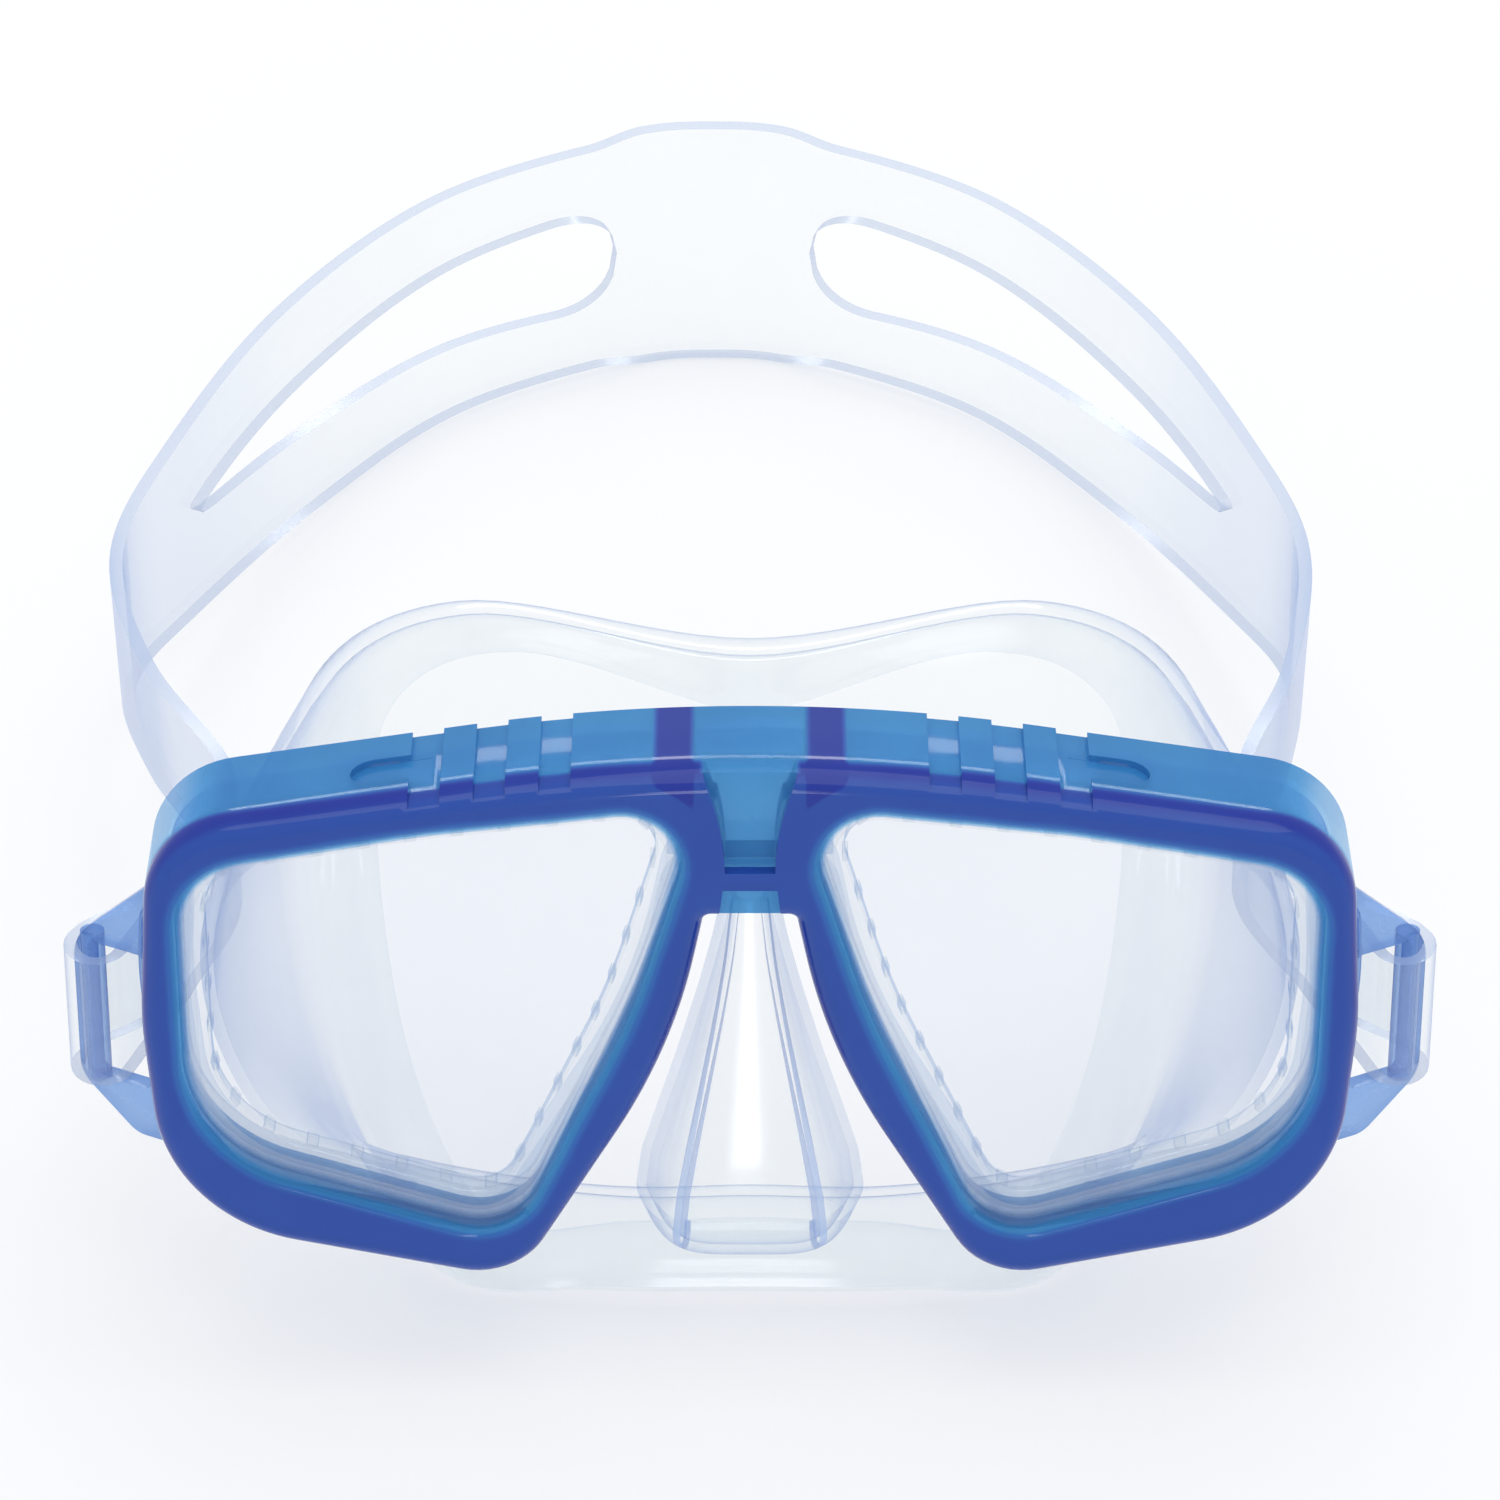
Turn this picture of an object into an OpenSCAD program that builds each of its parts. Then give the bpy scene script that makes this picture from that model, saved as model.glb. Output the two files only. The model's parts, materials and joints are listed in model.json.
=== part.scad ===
// Diving mask: two lenses in a snapped pair of frames, a soft skirt with a nose pocket and face
// seal, and a split head strap looped round two lug bars.
// Every piece but the rear of the strap is drawn in the mask's own upright frame: x across, y back
// from the front plane of the rims, z up from the lowest rim. lean_back() then sets it down as it
// rests, on the lower lip of its skirt and on the strap.

/* [Frame] */
// Overall width of the front frame
frame_w = 166; // [138:1:200]
// Height from the lowest rim to the middle of the brow
frame_h = 80.5; // [67:0.5:97]
// Depth of the wall over the brow
brow_d = 19; // [18:0.5:24]
// Depth of the walls at the sides
side_d = 15; // [14.5:0.5:16]
// How far the rear frame's wings stand out past the front frame
side_flare = 1.5; // [0.5:0.1:2]
// Depth of the walls under the lenses
foot_d = 13.2; // [12.6:0.1:14]
// Fall of the brow towards the temples, in degrees
brow_slope = 9; // [5:1:12]
// Thickness of the frame's outer wall
wall_t = 2.2; // [1.6:0.1:2.8]
// Width of the rim above each lens
rim_top = 9; // [7.5:0.1:10.8]
// Width of the rim beside each lens
rim_side = 7.2; // [6:0.1:9]
// Width of the rim under each lens
rim_bottom = 9.6; // [8:0.1:12]
// Width of the nose notch at its top
notch_w = 12.4; // [10:0.2:15]
// Height of the bridge over the nose notch
bridge_h = 23; // [19:0.5:28]
// Width of each groove between the brow ribs
groove_w = 4.3; // [3.4:0.1:5.2]
// Depth of each groove
groove_d = 1; // [0.5:0.1:1.4]

/* [Lenses] */
// Thickness of each lens
lens_t = 2.2; // [1.8:0.1:2.7]
// Overlap of lens and rim
lens_lap = 2.3; // [1.8:0.1:2.8]
// Depth of the notched ring behind each lens
ring_d = 3.2; // [2.6:0.1:3.4]
// How far the notched ring shows inside the rim
ring_show = 1.4; // [0.8:0.1:2]
// Pitch of the ring's notches
notch_pitch = 6.5; // [5:0.5:9]

/* [Skirt] */
// Thickness of the skirt's wall
skirt_t = 1.8; // [1.4:0.1:2.2]
// Width of the face seal lip
lip_w = 12; // [9:0.5:15]
// Depth of the skirt at the temples
temple_d = 58; // [50:1:70]
// Depth of the skirt at the middle of the forehead
forehead_d = 44; // [36:1:53]
// Half width of the nose pocket at its foot
nose_half = 15; // [12:0.5:18]
// How far the nose pocket stands in front of the rims
nose_reach = 3; // [1:0.5:5]

/* [Strap] */
// Width of the strap at the lugs
strap_end_w = 20; // [16:0.5:24]
// Height of the strap's rear pad
pad_h = 46; // [38:1:56]
// Width of the solid middle of the rear pad
pad_w = 30; // [24:1:40]
// Thickness of the strap
strap_t = 2; // [1.6:0.1:2.4]
// Distance from the lug bars to the back of the strap
loop_d = 187; // [155:1:225]
// Widest half width of the strap's loop
loop_half = 89; // [80:1:105]
// Sideways drift of the loop as it lies
loop_drift = -6; // [-8:0.5:8]

/* [Pose] */
// How far the mask leans back as it stands, in degrees
lean = 15; // [10:1:20]
// Height of the lowest rim over the surface
rest_z = 20; // [18:0.5:26]

/* [Hidden] */

fit = 0.3;
hw = frame_w / 2;
lip_y = 3.4;
lens_y = lip_y + lens_t;
seat_y = lens_y + ring_d + 0.1;
flange_t = 2;
rear_y = seat_y + flange_t;
rear_t = 6.5;
ring_in = 6;

// the brow: a long arc between two straight slopes
brow_r = 250;
brow_top = frame_h + brow_r * (1 / cos(brow_slope) - 1);
function brow_z(x) =
    abs(x) < brow_r * sin(brow_slope)
        ? frame_h - brow_r + sqrt(brow_r * brow_r - x * x)
        : brow_top - abs(x) * tan(brow_slope);

// the strap lugs: a slotted ear on each side, with a round bar
lug_z = 30.5;
lug_root_x = hw - 3;
lug_root_y = side_d + 2.6;
lug_turn = 28;
lug_t = 2.6;
bar_p = 12.6;
bar_r = 1.7;
slot_p = 3.4;
slot_half = strap_end_w / 2 + 1;
bar_x = lug_root_x + bar_p * cos(lug_turn);
bar_y = lug_root_y - lug_t / 2 + bar_p * sin(lug_turn);

// the strap's loops round the bars, and the round joint where the rear of the strap begins
loop_in = bar_r + 1;
run_turn = 25;
run_off = loop_in + strap_t / 2;
joint_r = 17;
joint_gap = 0.35;

// the whole mask stands with the middle of its depth over the origin
front_reach = -1.7;
bar_back = bar_y * cos(lean) + lug_z * sin(lean);
origin_y = -(bar_back + loop_d + strap_t / 2 + front_reach) / 2;
function world(p) = [
    p.x,
    p.y * cos(lean) + p.z * sin(lean) + origin_y,
    -p.y * sin(lean) + p.z * cos(lean) + rest_z
];
bar_world = world([bar_x, bar_y, lug_z]);

// ---- outlines ----

function unit(v) = v / norm(v);
function flip(pts) = [for (i = [len(pts) - 1 : -1 : 0]) [-pts[i].x, pts[i].y, pts[i].z]];

// An arc of radius b.z that rounds the corner b between its neighbours a and c
function corner(a, b, c, n) =
    let (
        p = [a.x, a.y],
        q = [b.x, b.y],
        s = [c.x, c.y],
        u = unit(p - q),
        w = unit(s - q),
        half = acos(u * w) / 2,
        mid = q + unit(u + w) * b.z / sin(half),
        from = q + u * b.z / tan(half) - mid,
        to = q + w * b.z / tan(half) - mid,
        first = atan2(from.y, from.x),
        sweep = atan2(from.x * to.y - from.y * to.x, from * to)
    )
    [for (i = [0 : n]) mid + b.z * [cos(first + sweep * i / n), sin(first + sweep * i / n)]];

function rounded(pts, n = 7) =
    let (k = len(pts))
    [for (i = [0 : k - 1]) each corner(pts[(i + k - 1) % k], pts[i], pts[(i + 1) % k], n)];

// Corners of the right half of the frame, each [x, z, radius], from the brow round to the notch
frame_half = [
    [hw - 1.5, brow_z(hw - 1.5), 14],
    [hw + 0.4, frame_h / 2, 60],
    [hw - 2, 8, 24],
    [notch_w / 2 + 24.5, -2.4, 9],
    [notch_w / 2, frame_h - bridge_h, 1.2]
];
frame_line = rounded(concat([[0, brow_top, brow_r]], frame_half, flip(frame_half)));

// Corners of the right eye's opening
function eye_top(x) = brow_z(x) - rim_top / cos(brow_slope);
eye_line = rounded([
    [notch_w / 2 + 2.8, eye_top(9) + 1.6, 6],
    [hw * 0.53, eye_top(hw * 0.53) + 1.2, 90],
    [hw - rim_side, eye_top(hw) + 1.6, 9],
    [hw - rim_side - 0.2, rim_bottom + 11.5, 18],
    [notch_w / 2 + 28, rim_bottom - 2, 7],
    [notch_w / 2 + 12.8, frame_h * 0.54, 120]
]);

module eye(grow = 0) {
    offset(r = grow) polygon(eye_line);
}

module both_eyes(grow = 0) {
    for (side = [0, 1])
        mirror([side, 0]) eye(grow);
}

module frame_outline(inset = 0) {
    offset(delta = -inset) polygon(frame_line);
}

// A flat slab of a 2D shape in the x-z plane, from y0 back to y1
module slab(y0, y1) {
    translate([0, y1, 0]) rotate([90, 0, 0]) linear_extrude(y1 - y0) children();
}

module lean_back() {
    translate([0, origin_y, rest_z]) rotate([-lean, 0, 0]) children();
}

module both_sides() {
    for (side = [0, 1])
        mirror([side, 0, 0]) children();
}

// Puts a child on the brow's surface at x, turned to its slope
module on_brow(x, y) {
    turn = abs(x) < brow_r * sin(brow_slope) ? asin(x / brow_r) : brow_slope;
    translate([x, y, brow_z(x)]) rotate([0, turn, 0]) children();
}

// ---- frames ----

hook_x = hw - 32;
hook_w = 7.6;
hook_y = rear_y + 1.6;
hook_l = 2.6;
groove_pitch = 2 * groove_w + 0.2;
groove_x = 26.2;

module rim_plate() {
    // the rounded front of the rims, in three steps, then the lens seat behind them
    slab(0, 0.9) difference() {
        frame_outline(1.9);
        both_eyes(2.6);
    }
    slab(0.9, 2.2) difference() {
        frame_outline(0.6);
        both_eyes(0.9);
    }
    slab(2.2, lip_y) difference() {
        frame_outline();
        both_eyes();
    }
    slab(lip_y, seat_y) difference() {
        frame_outline();
        both_eyes(lens_lap + 0.15);
    }
}

module outer_wall() {
    difference() {
        slab(seat_y, brow_d) difference() {
            frame_outline();
            frame_outline(wall_t);
        }
        // open behind the nose notch, so that the skirt can pass forward
        translate([-notch_w / 2 - 25, seat_y, -8]) cube([notch_w + 50, brow_d, frame_h - bridge_h + 12]);
        // shallower at the sides and the foot than over the brow
        translate([-hw - 5, 0, 0]) rotate([90, 0, 90]) linear_extrude(2 * hw + 10)
            polygon([
                [foot_d, -10],
                [foot_d, 9],
                [side_d, 12],
                [side_d, 53],
                [brow_d, 62],
                [brow_d + 9, 62],
                [brow_d + 9, -10]
            ]);
    }
}

module bridge_recess(y0, y1, top, foot, half_top, half_foot) {
    slab(y0, y1) polygon([[-half_top, top], [half_top, top], [half_foot, foot], [-half_foot, foot]]);
}

module front_frame() {
    bar_z = frame_h - bridge_h + 6.5;
    color([0.22, 0.36, 0.68, 0.8]) lean_back() difference() {
        union() {
            rim_plate();
            outer_wall();
        }
        // thin plates over and under the bridge's cross bar, recessed from both sides
        for (depth = [[-1, 2], [4.4, seat_y + 1]]) {
            bridge_recess(depth[0], depth[1], frame_h - 3.5, bar_z + 3.2, 6.8, 3.4);
            bridge_recess(depth[0], depth[1], bar_z - 1, frame_h - bridge_h - 1, 3, 4.2);
        }
        for (i = [0 : 2])
            both_sides() on_brow(groove_x + i * groove_pitch, -1)
                translate([-groove_w / 2, 0, -groove_d]) cube([groove_w, brow_d + 2, 6]);
        // windows for the rear frame's hooks
        both_sides() on_brow(hook_x, hook_y - 0.4)
            translate([-hook_w / 2 - 1.2, 0, -5]) cube([hook_w + 2.4, hook_l + 0.8, 8]);
        both_sides() translate([hook_x - hook_w / 2 - 1.2, hook_y - 0.4, -3])
            cube([hook_w + 2.4, hook_l + 0.8, 9]);
    }
}

module lug() {
    translate([lug_root_x, lug_root_y, lug_z]) rotate([0, 0, lug_turn]) {
        difference() {
            slab(-lug_t, 0) polygon(rounded([
                [0, -19, 0.5],
                [6, -19, 4],
                [bar_p + 2.4, -slot_half - 0.5, 5],
                [bar_p + 2.4, slot_half, 8],
                [2.5, 22.5, 3],
                [0, 21.8, 0.5]
            ]));
            translate([slot_p, -lug_t - 1, -slot_half]) cube([20, lug_t + 2, 2 * slot_half]);
        }
        translate([bar_p, -lug_t / 2, -slot_half - 1]) cylinder(r = bar_r, h = 2 * slot_half + 2, $fn = 32);
    }
}

module rear_frame() {
    color([0.45, 0.62, 0.85, 0.8]) lean_back() {
        slab(rear_y, rear_y + rear_t) difference() {
            frame_outline(wall_t + fit);
            frame_outline(ring_in);
        }
        // wings that close the sides behind the front frame and carry the lugs
        slab(side_d + fit, lug_root_y) difference() {
            intersection() {
                frame_outline(-side_flare);
                both_sides_2d() translate([hw - 14, 11]) square([20, 42]);
            }
            frame_outline(ring_in);
        }
        both_sides() lug();
        // hooks that snap into the front frame's windows, over and under
        both_sides() on_brow(hook_x, hook_y) translate([-hook_w / 2, 0, -wall_t - 2])
            cube([hook_w, hook_l, wall_t + 1.6]);
        both_sides() translate([hook_x - hook_w / 2, hook_y, 2]) cube([hook_w, hook_l, 3.5]);
        // posts beside the bridge
        both_sides() slab(rear_y, rear_y + rear_t) translate([notch_w / 2 + 1.8, frame_h - bridge_h + 4])
            square([3.4, bridge_h - 8.5]);
    }
}

module both_sides_2d() {
    for (side = [0, 1])
        mirror([side, 0]) children();
}

// ---- lenses ----

module lens() {
    slab(lip_y, lens_y) eye(lens_lap);
}

module lens_ring() {
    around = len(eye_line);
    slab(lens_y, lens_y + ring_d) difference() {
        eye(lens_lap);
        eye(-ring_show);
        for (i = [0 : around - 1]) {
            a = eye_line[i];
            b = eye_line[(i + 1) % around];
            steps = max(1, round(norm(b - a) / notch_pitch));
            if (norm(b - a) > 1.4)
                for (j = [0.5 : steps])
                    translate(a + (b - a) * j / steps) rotate(atan2(b.y - a.y, b.x - a.x))
                        translate([-0.8, -0.5 - 2 * ring_show]) square([1.6, 2 * ring_show]);
        }
    }
}

module lens_left() {
    color([0.86, 0.93, 0.98, 0.3]) lean_back() mirror([1, 0, 0]) lens();
}

module lens_right() {
    color([0.86, 0.93, 0.98, 0.3]) lean_back() lens();
}

module lens_ring_left() {
    color([0.75, 0.85, 0.92, 0.5]) lean_back() mirror([1, 0, 0]) lens_ring();
}

module lens_ring_right() {
    color([0.75, 0.85, 0.92, 0.5]) lean_back() lens_ring();
}

// ---- skirt ----

// Height in the mask's frame of the surface it rests on, at depth y
function floor_z(y) = (y * sin(lean) - rest_z + 0.75) / cos(lean);

// Depth of the lip under the nose, where the skirt rests
lip_y0 = 17.5;

// The wall and the nose pocket start this far inside the flange
root = 0.5;
wall_y = rear_y - root;

// Control points [x, y, z] of the right half, from under the nose round to the forehead: first
// where the skirt leaves the frame, then along the face seal
front_half = [
    [0, wall_y, 5.5],
    [20, wall_y, 5.5],
    [44, wall_y, 9.5],
    [hw - 17, wall_y, 16],
    [hw - 7.4, wall_y, frame_h / 2],
    [hw - 14, wall_y, brow_z(hw - 14) - 12],
    [hw * 0.45, wall_y, brow_z(hw * 0.45) - 7.4],
    [0, wall_y, frame_h - 7]
];
seal_half = [
    [0, lip_y0, floor_z(lip_y0)],
    [22, lip_y0 + 0.2, floor_z(lip_y0 + 0.2)],
    [44, lip_y0 + 3, floor_z(lip_y0 + 3)],
    [hw - 24, 42, floor_z(42) + 1.2],
    [hw - 17, temple_d, 30],
    [hw - 20, temple_d, frame_h - 19],
    [hw * 0.5, temple_d - 8, frame_h - 1],
    [0, forehead_d, frame_h - 3.5]
];

function mirrored(half) = concat(half, [for (i = [len(half) - 2 : -1 : 1]) [-half[i].x, half[i].y, half[i].z]]);

// A closed smooth line through the control points, with n steps between each pair
function smooth(pts, n) =
    let (k = len(pts))
    [for (i = [0 : k - 1], j = [0 : n - 1])
        let (a = pts[(i + k - 1) % k], b = pts[i], c = pts[(i + 1) % k], d = pts[(i + 2) % k], t = j / n)
        0.5 * (2 * b + (c - a) * t + (2 * a - 5 * b + 4 * c - d) * t * t
            + (3 * b - a - 3 * c + d) * t * t * t)];

around_steps = 6;
front_ring = smooth(mirrored(front_half), around_steps);
seal_ring = smooth(mirrored(seal_half), around_steps);
ring_n = len(front_ring);
skirt_mid = [0, 0, frame_h / 2];

// The ring a share s of the way to the face seal, moved inwards by inset and back by shift
function skirt_ring(s, inset, shift = 0) = [
    for (i = [0 : ring_n - 1])
        let (
            a = front_ring[i],
            b = seal_ring[i],
            p = [a.x + (b.x - a.x) * s * s, a.y + (b.y - a.y) * s, a.z + (b.z - a.z) * s * s],
            out = unit([p.x, 0, p.z - skirt_mid.z])
        )
        p - out * inset + [0, shift, 0]
];

// Rings from the front edge out to the seal, round the thin edge of the lip and back inside
skirt_rings = concat(
    [for (s = [0 : 0.2 : 1]) skirt_ring(s, 0)],
    [skirt_ring(1, 3, 2.2), skirt_ring(1, lip_w, 1)],
    [skirt_ring(1, lip_w, 0.2), skirt_ring(1, 3.6, 0.6), skirt_ring(1, skirt_t + 0.2, -1.4)],
    [for (s = [0.8 : -0.2 : -0.01]) skirt_ring(s, skirt_t)]
);

// Joins closed rings of the same length into a solid torus, ring by ring
module loft(rings) {
    k = len(rings);
    n = len(rings[0]);
    polyhedron(
        [for (r = rings) each r],
        [for (i = [0 : k - 1], j = [0 : n - 1], half = [0, 1])
            let (a = i * n + j, b = i * n + (j + 1) % n, c = ((i + 1) % k) * n + (j + 1) % n,
                d = ((i + 1) % k) * n + j)
            half == 0 ? [a, b, c] : [a, c, d]]
    );
}

// Levels down the nose pocket: [height, half width, front]
nose_levels = [
    [frame_h - bridge_h - 1, 4, 8],
    [40, 6.2, 4],
    [26, 9.4, 1],
    [13, nose_half - 1, -nose_reach],
    [4.5, nose_half, -nose_reach],
    [1.5, nose_half - 1.5, -nose_reach + 2]
];

module nose_level(level, inset, back) {
    half = level[1] - inset;
    front = level[2] + inset;
    round_r = min(half * 0.8, (back - front) / 2);
    translate([0, 0, level[0]]) linear_extrude(0.1) hull() {
        translate([0, front + round_r]) circle(round_r, $fn = 24);
        translate([-half, back - 1]) square([2 * half, 1]);
    }
}

module nose_pocket(inset, back) {
    for (i = [0 : len(nose_levels) - 2]) {
        hull() {
            nose_level(nose_levels[i], inset, back);
            nose_level(nose_levels[i + 1], inset, back);
        }
    }
}

module skirt() {
    color([0.9, 0.94, 0.98, 0.4]) lean_back() difference() {
        union() {
            loft(skirt_rings);
            // flange clamped between the frames, closed between the eyes
            slab(seat_y, rear_y) difference() {
                union() {
                    frame_outline(wall_t + fit);
                    polygon([
                        [-notch_w / 2 - 24, 3.6],
                        [notch_w / 2 + 24, 3.6],
                        [notch_w / 2 + 3, frame_h - bridge_h + 4],
                        [-notch_w / 2 - 3, frame_h - bridge_h + 4]
                    ]);
                }
                both_eyes(lens_lap - 0.4);
            }
            nose_pocket(0, wall_y);
        }
        translate([0, 0, skirt_t]) nose_pocket(skirt_t, rear_y + 3);
        // groove that the rear frame's ring sits in
        slab(rear_y, rear_y + rear_t + fit) difference() {
            frame_outline(wall_t);
            frame_outline(ring_in + fit);
        }
        both_sides() slab(rear_y, rear_y + rear_t + fit)
            translate([notch_w / 2 + 1.8 - fit, frame_h - bridge_h]) square([3.4 + 2 * fit, bridge_h]);
    }
}

// ---- strap ----

// The loop round the bar and the run behind it, seen from above with the bar at the origin
module strap_end_profile() {
    rotate(run_turn) difference() {
        union() {
            hull() {
                circle(loop_in + strap_t, $fn = 40);
                translate([-run_off, 10]) circle(strap_t / 2 + 0.5, $fn = 24);
            }
            translate([-run_off - strap_t / 2, 0]) square([strap_t, joint_r + 8]);
        }
        hull() {
            circle(loop_in, $fn = 40);
            translate([-run_off + strap_t, 6.5]) circle(0.5, $fn = 16);
        }
    }
}

module strap_end() {
    translate([bar_x, bar_y, lug_z]) intersection() {
        translate([0, 0, -strap_end_w / 2]) linear_extrude(strap_end_w) strap_end_profile();
        rotate([0, 90, 0]) cylinder(r = joint_r, h = 80, center = true, $fn = 96);
    }
}

module strap_end_left() {
    color([0.88, 0.92, 0.98, 0.5]) lean_back() mirror([1, 0, 0]) strap_end();
}

module strap_end_right() {
    color([0.88, 0.92, 0.98, 0.5]) lean_back() strap_end();
}

// A point on the strap's run behind the bar, a distance back from it, in the resting frame
function run_point(back) = world([
    bar_x - run_off * cos(run_turn) - back * sin(run_turn),
    bar_y - run_off * sin(run_turn) + back * cos(run_turn),
    lug_z
]);

// Control points [x, y] of the strap's right half, seen from above
by = bar_world.y;
strap_half = [
    [run_point(8).x, run_point(8).y],
    [run_point(19).x, run_point(19).y],
    [hw - 10, by + loop_d * 0.19],
    [loop_half - 5, by + loop_d * 0.34],
    [loop_half, by + loop_d * 0.48],
    [loop_half - 7, by + loop_d * 0.61],
    [loop_half - 22, by + loop_d * 0.77],
    [loop_half - 45, by + loop_d * 0.91],
    [pad_w / 2 + 1, by + loop_d * 0.985],
    [0, by + loop_d]
];
span_steps = 6;
half_spans = len(strap_half) - 1;

// The half line as a smooth curve, from the lug to the middle of the back
strap_curve = let (
    k = half_spans,
    pts = concat([2 * strap_half[0] - strap_half[1]], strap_half, [[-strap_half[k - 1].x, strap_half[k - 1].y]])
) [for (i = [0 : k - 1], j = [0 : span_steps])
    if (j < span_steps || i == k - 1)
        let (a = pts[i], b = pts[i + 1], c = pts[i + 2], d = pts[i + 3], t = j / span_steps)
        0.5 * (2 * b + (c - a) * t + (2 * a - 5 * b + 4 * c - d) * t * t
            + (3 * b - a - 3 * c + d) * t * t * t)];
last = len(strap_curve) - 1;

function ease(x) = let (t = max(0, min(1, x))) t * t * (3 - 2 * t);
// Share of the way back from the bar, 0 to 1
function back_share(p) = (p.y - by) / loop_d;
function drift(p) = loop_drift * ease(back_share(p) / 0.5);
// Edges of the strap over the surface, with the pad standing a little proud of both
function bump(x) = 1.4 * ease((pad_w / 2 + 5 - abs(x)) / 9);
function mid_z(s) = bar_world.z + (pad_h / 2 + 1.4 - bar_world.z) * ease(s / 0.85);
function half_h(s) = strap_end_w / 2 + (pad_h / 2 - strap_end_w / 2) * ease((s - 0.25) / 0.6);

// Station i of the whole strap, from -last on the left to last on the right
function station(i) =
    let (
        j = last - abs(i),
        side = i < 0 ? -1 : 1,
        p = strap_curve[j],
        q = strap_curve[min(j + 1, last)] - strap_curve[max(j - 1, 0)],
        along = j == last ? [-1, 0] : unit(q),
        s = back_share(p),
        tip = lean * (1 - ease((s - 0.1) / 0.35))
    )
    [
        [side * p.x + drift(p), p.y, mid_z(s)],
        [side * -along.y, along.x, 0],
        [0, sin(tip), cos(tip)],
        half_h(s) + bump(p.x)
    ];

// A length of strap between stations, with its lower and upper edges given as shares of the half
// height, and its thickness
module strip(from, to, low, high, thick) {
    ring = [for (i = [from : to])
        let (s = station(i), out = s[1] * thick / 2, up = s[2] * s[3])
        [s[0] - out + up * low(i), s[0] + out + up * low(i), s[0] + out + up * high(i),
            s[0] - out + up * high(i)]];
    n = len(ring) - 1;
    polyhedron(
        [for (r = ring) each r],
        concat(
            [[3, 2, 1, 0], [4 * n, 4 * n + 1, 4 * n + 2, 4 * n + 3]],
            [for (i = [0 : n - 1], j = [0 : 3], half = [0, 1])
                let (a = 4 * i + j, b = 4 * i + (j + 1) % 4)
                half == 0 ? [a, b + 4, a + 4] : [a, b, b + 4]]
        )
    );
}

// Share of the slot's length at station i: 0 at its tip, 1 at the pad
slot_far = 23;
slot_near = 6;
function slot_share(i) = (slot_far - abs(i)) / (slot_far - slot_near);
function slot_low(i) = -0.5 * pow(slot_share(i), 0.6) * slot_end(i) + 0.02;
function slot_high(i) = 0.4 * pow(slot_share(i), 0.6) * slot_end(i) + 0.04;
function slot_end(i) = slot_share(i) > 0.86 ? sqrt(1 - pow((slot_share(i) - 0.86) / 0.15, 2)) : 1;

module strap_rear() {
    color([0.88, 0.92, 0.98, 0.5]) difference() {
        strip(-last, last, function(i) -1, function(i) 1, strap_t);
        for (side = [-1, 1])
            strip(min(side * slot_near, side * slot_far), max(side * slot_near, side * slot_far),
                function(i) slot_low(i), function(i) slot_high(i), 3 * strap_t);
        translate([-hw - 40, bar_world.y, bar_world.z]) rotate([0, 90, 0])
            cylinder(r = joint_r + joint_gap, h = 2 * hw + 80, $fn = 96);
    }
}

front_frame();
rear_frame();
lens_left();
lens_right();
lens_ring_left();
lens_ring_right();
skirt();
strap_end_left();
strap_end_right();
strap_rear();
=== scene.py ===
import json
import math

import bmesh
import bpy
import numpy as np
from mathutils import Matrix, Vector, geometry


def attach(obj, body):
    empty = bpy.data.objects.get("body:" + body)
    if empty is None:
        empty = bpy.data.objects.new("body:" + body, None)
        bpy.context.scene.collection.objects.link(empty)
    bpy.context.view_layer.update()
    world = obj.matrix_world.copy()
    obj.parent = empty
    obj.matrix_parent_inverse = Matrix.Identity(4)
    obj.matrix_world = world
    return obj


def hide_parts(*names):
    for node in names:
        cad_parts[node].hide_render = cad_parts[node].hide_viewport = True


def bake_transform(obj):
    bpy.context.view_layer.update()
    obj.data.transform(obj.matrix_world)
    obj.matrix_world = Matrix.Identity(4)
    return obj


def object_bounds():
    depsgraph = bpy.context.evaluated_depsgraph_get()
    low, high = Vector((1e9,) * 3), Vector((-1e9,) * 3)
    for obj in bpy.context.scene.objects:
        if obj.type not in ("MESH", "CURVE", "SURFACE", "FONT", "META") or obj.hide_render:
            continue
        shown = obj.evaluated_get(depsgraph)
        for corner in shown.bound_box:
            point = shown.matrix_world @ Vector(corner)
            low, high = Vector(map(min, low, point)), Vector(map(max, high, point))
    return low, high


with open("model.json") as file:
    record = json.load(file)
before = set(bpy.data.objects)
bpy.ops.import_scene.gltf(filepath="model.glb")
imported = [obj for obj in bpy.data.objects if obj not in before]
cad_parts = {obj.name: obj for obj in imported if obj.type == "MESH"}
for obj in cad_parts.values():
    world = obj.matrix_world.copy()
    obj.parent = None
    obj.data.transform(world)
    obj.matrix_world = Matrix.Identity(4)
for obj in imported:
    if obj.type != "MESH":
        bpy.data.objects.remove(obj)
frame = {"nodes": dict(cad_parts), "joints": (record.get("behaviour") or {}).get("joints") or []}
cad_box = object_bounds()


# ---- how the mask stands ----
# The frames, lenses and skirt are drawn upright in millimetres: x across, y back from the front
# plane of the rims, z up from the lowest rim. As it rests, the mask leans back on its skirt, and
# its lug bars lie on the axis that the strap swings about.

LEAN = math.radians(15)
BAR_ACROSS, BAR_BACK, BAR_UP = 91.125, 22.2153, 30.5
strap_swing = frame["joints"][0]
bar_y, bar_z = (1000 * v for v in strap_swing["pos_m"][1:])


def lean_back(points):
    """Upright millimetres to the resting place, still in millimetres."""
    x, y, z = np.asarray(points, float).reshape(-1, 3).T
    y, z = y - BAR_BACK, z - BAR_UP
    return np.stack([
        x,
        y * math.cos(LEAN) + z * math.sin(LEAN) + bar_y,
        z * math.cos(LEAN) - y * math.sin(LEAN) + bar_z,
    ], axis=1)


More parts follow.
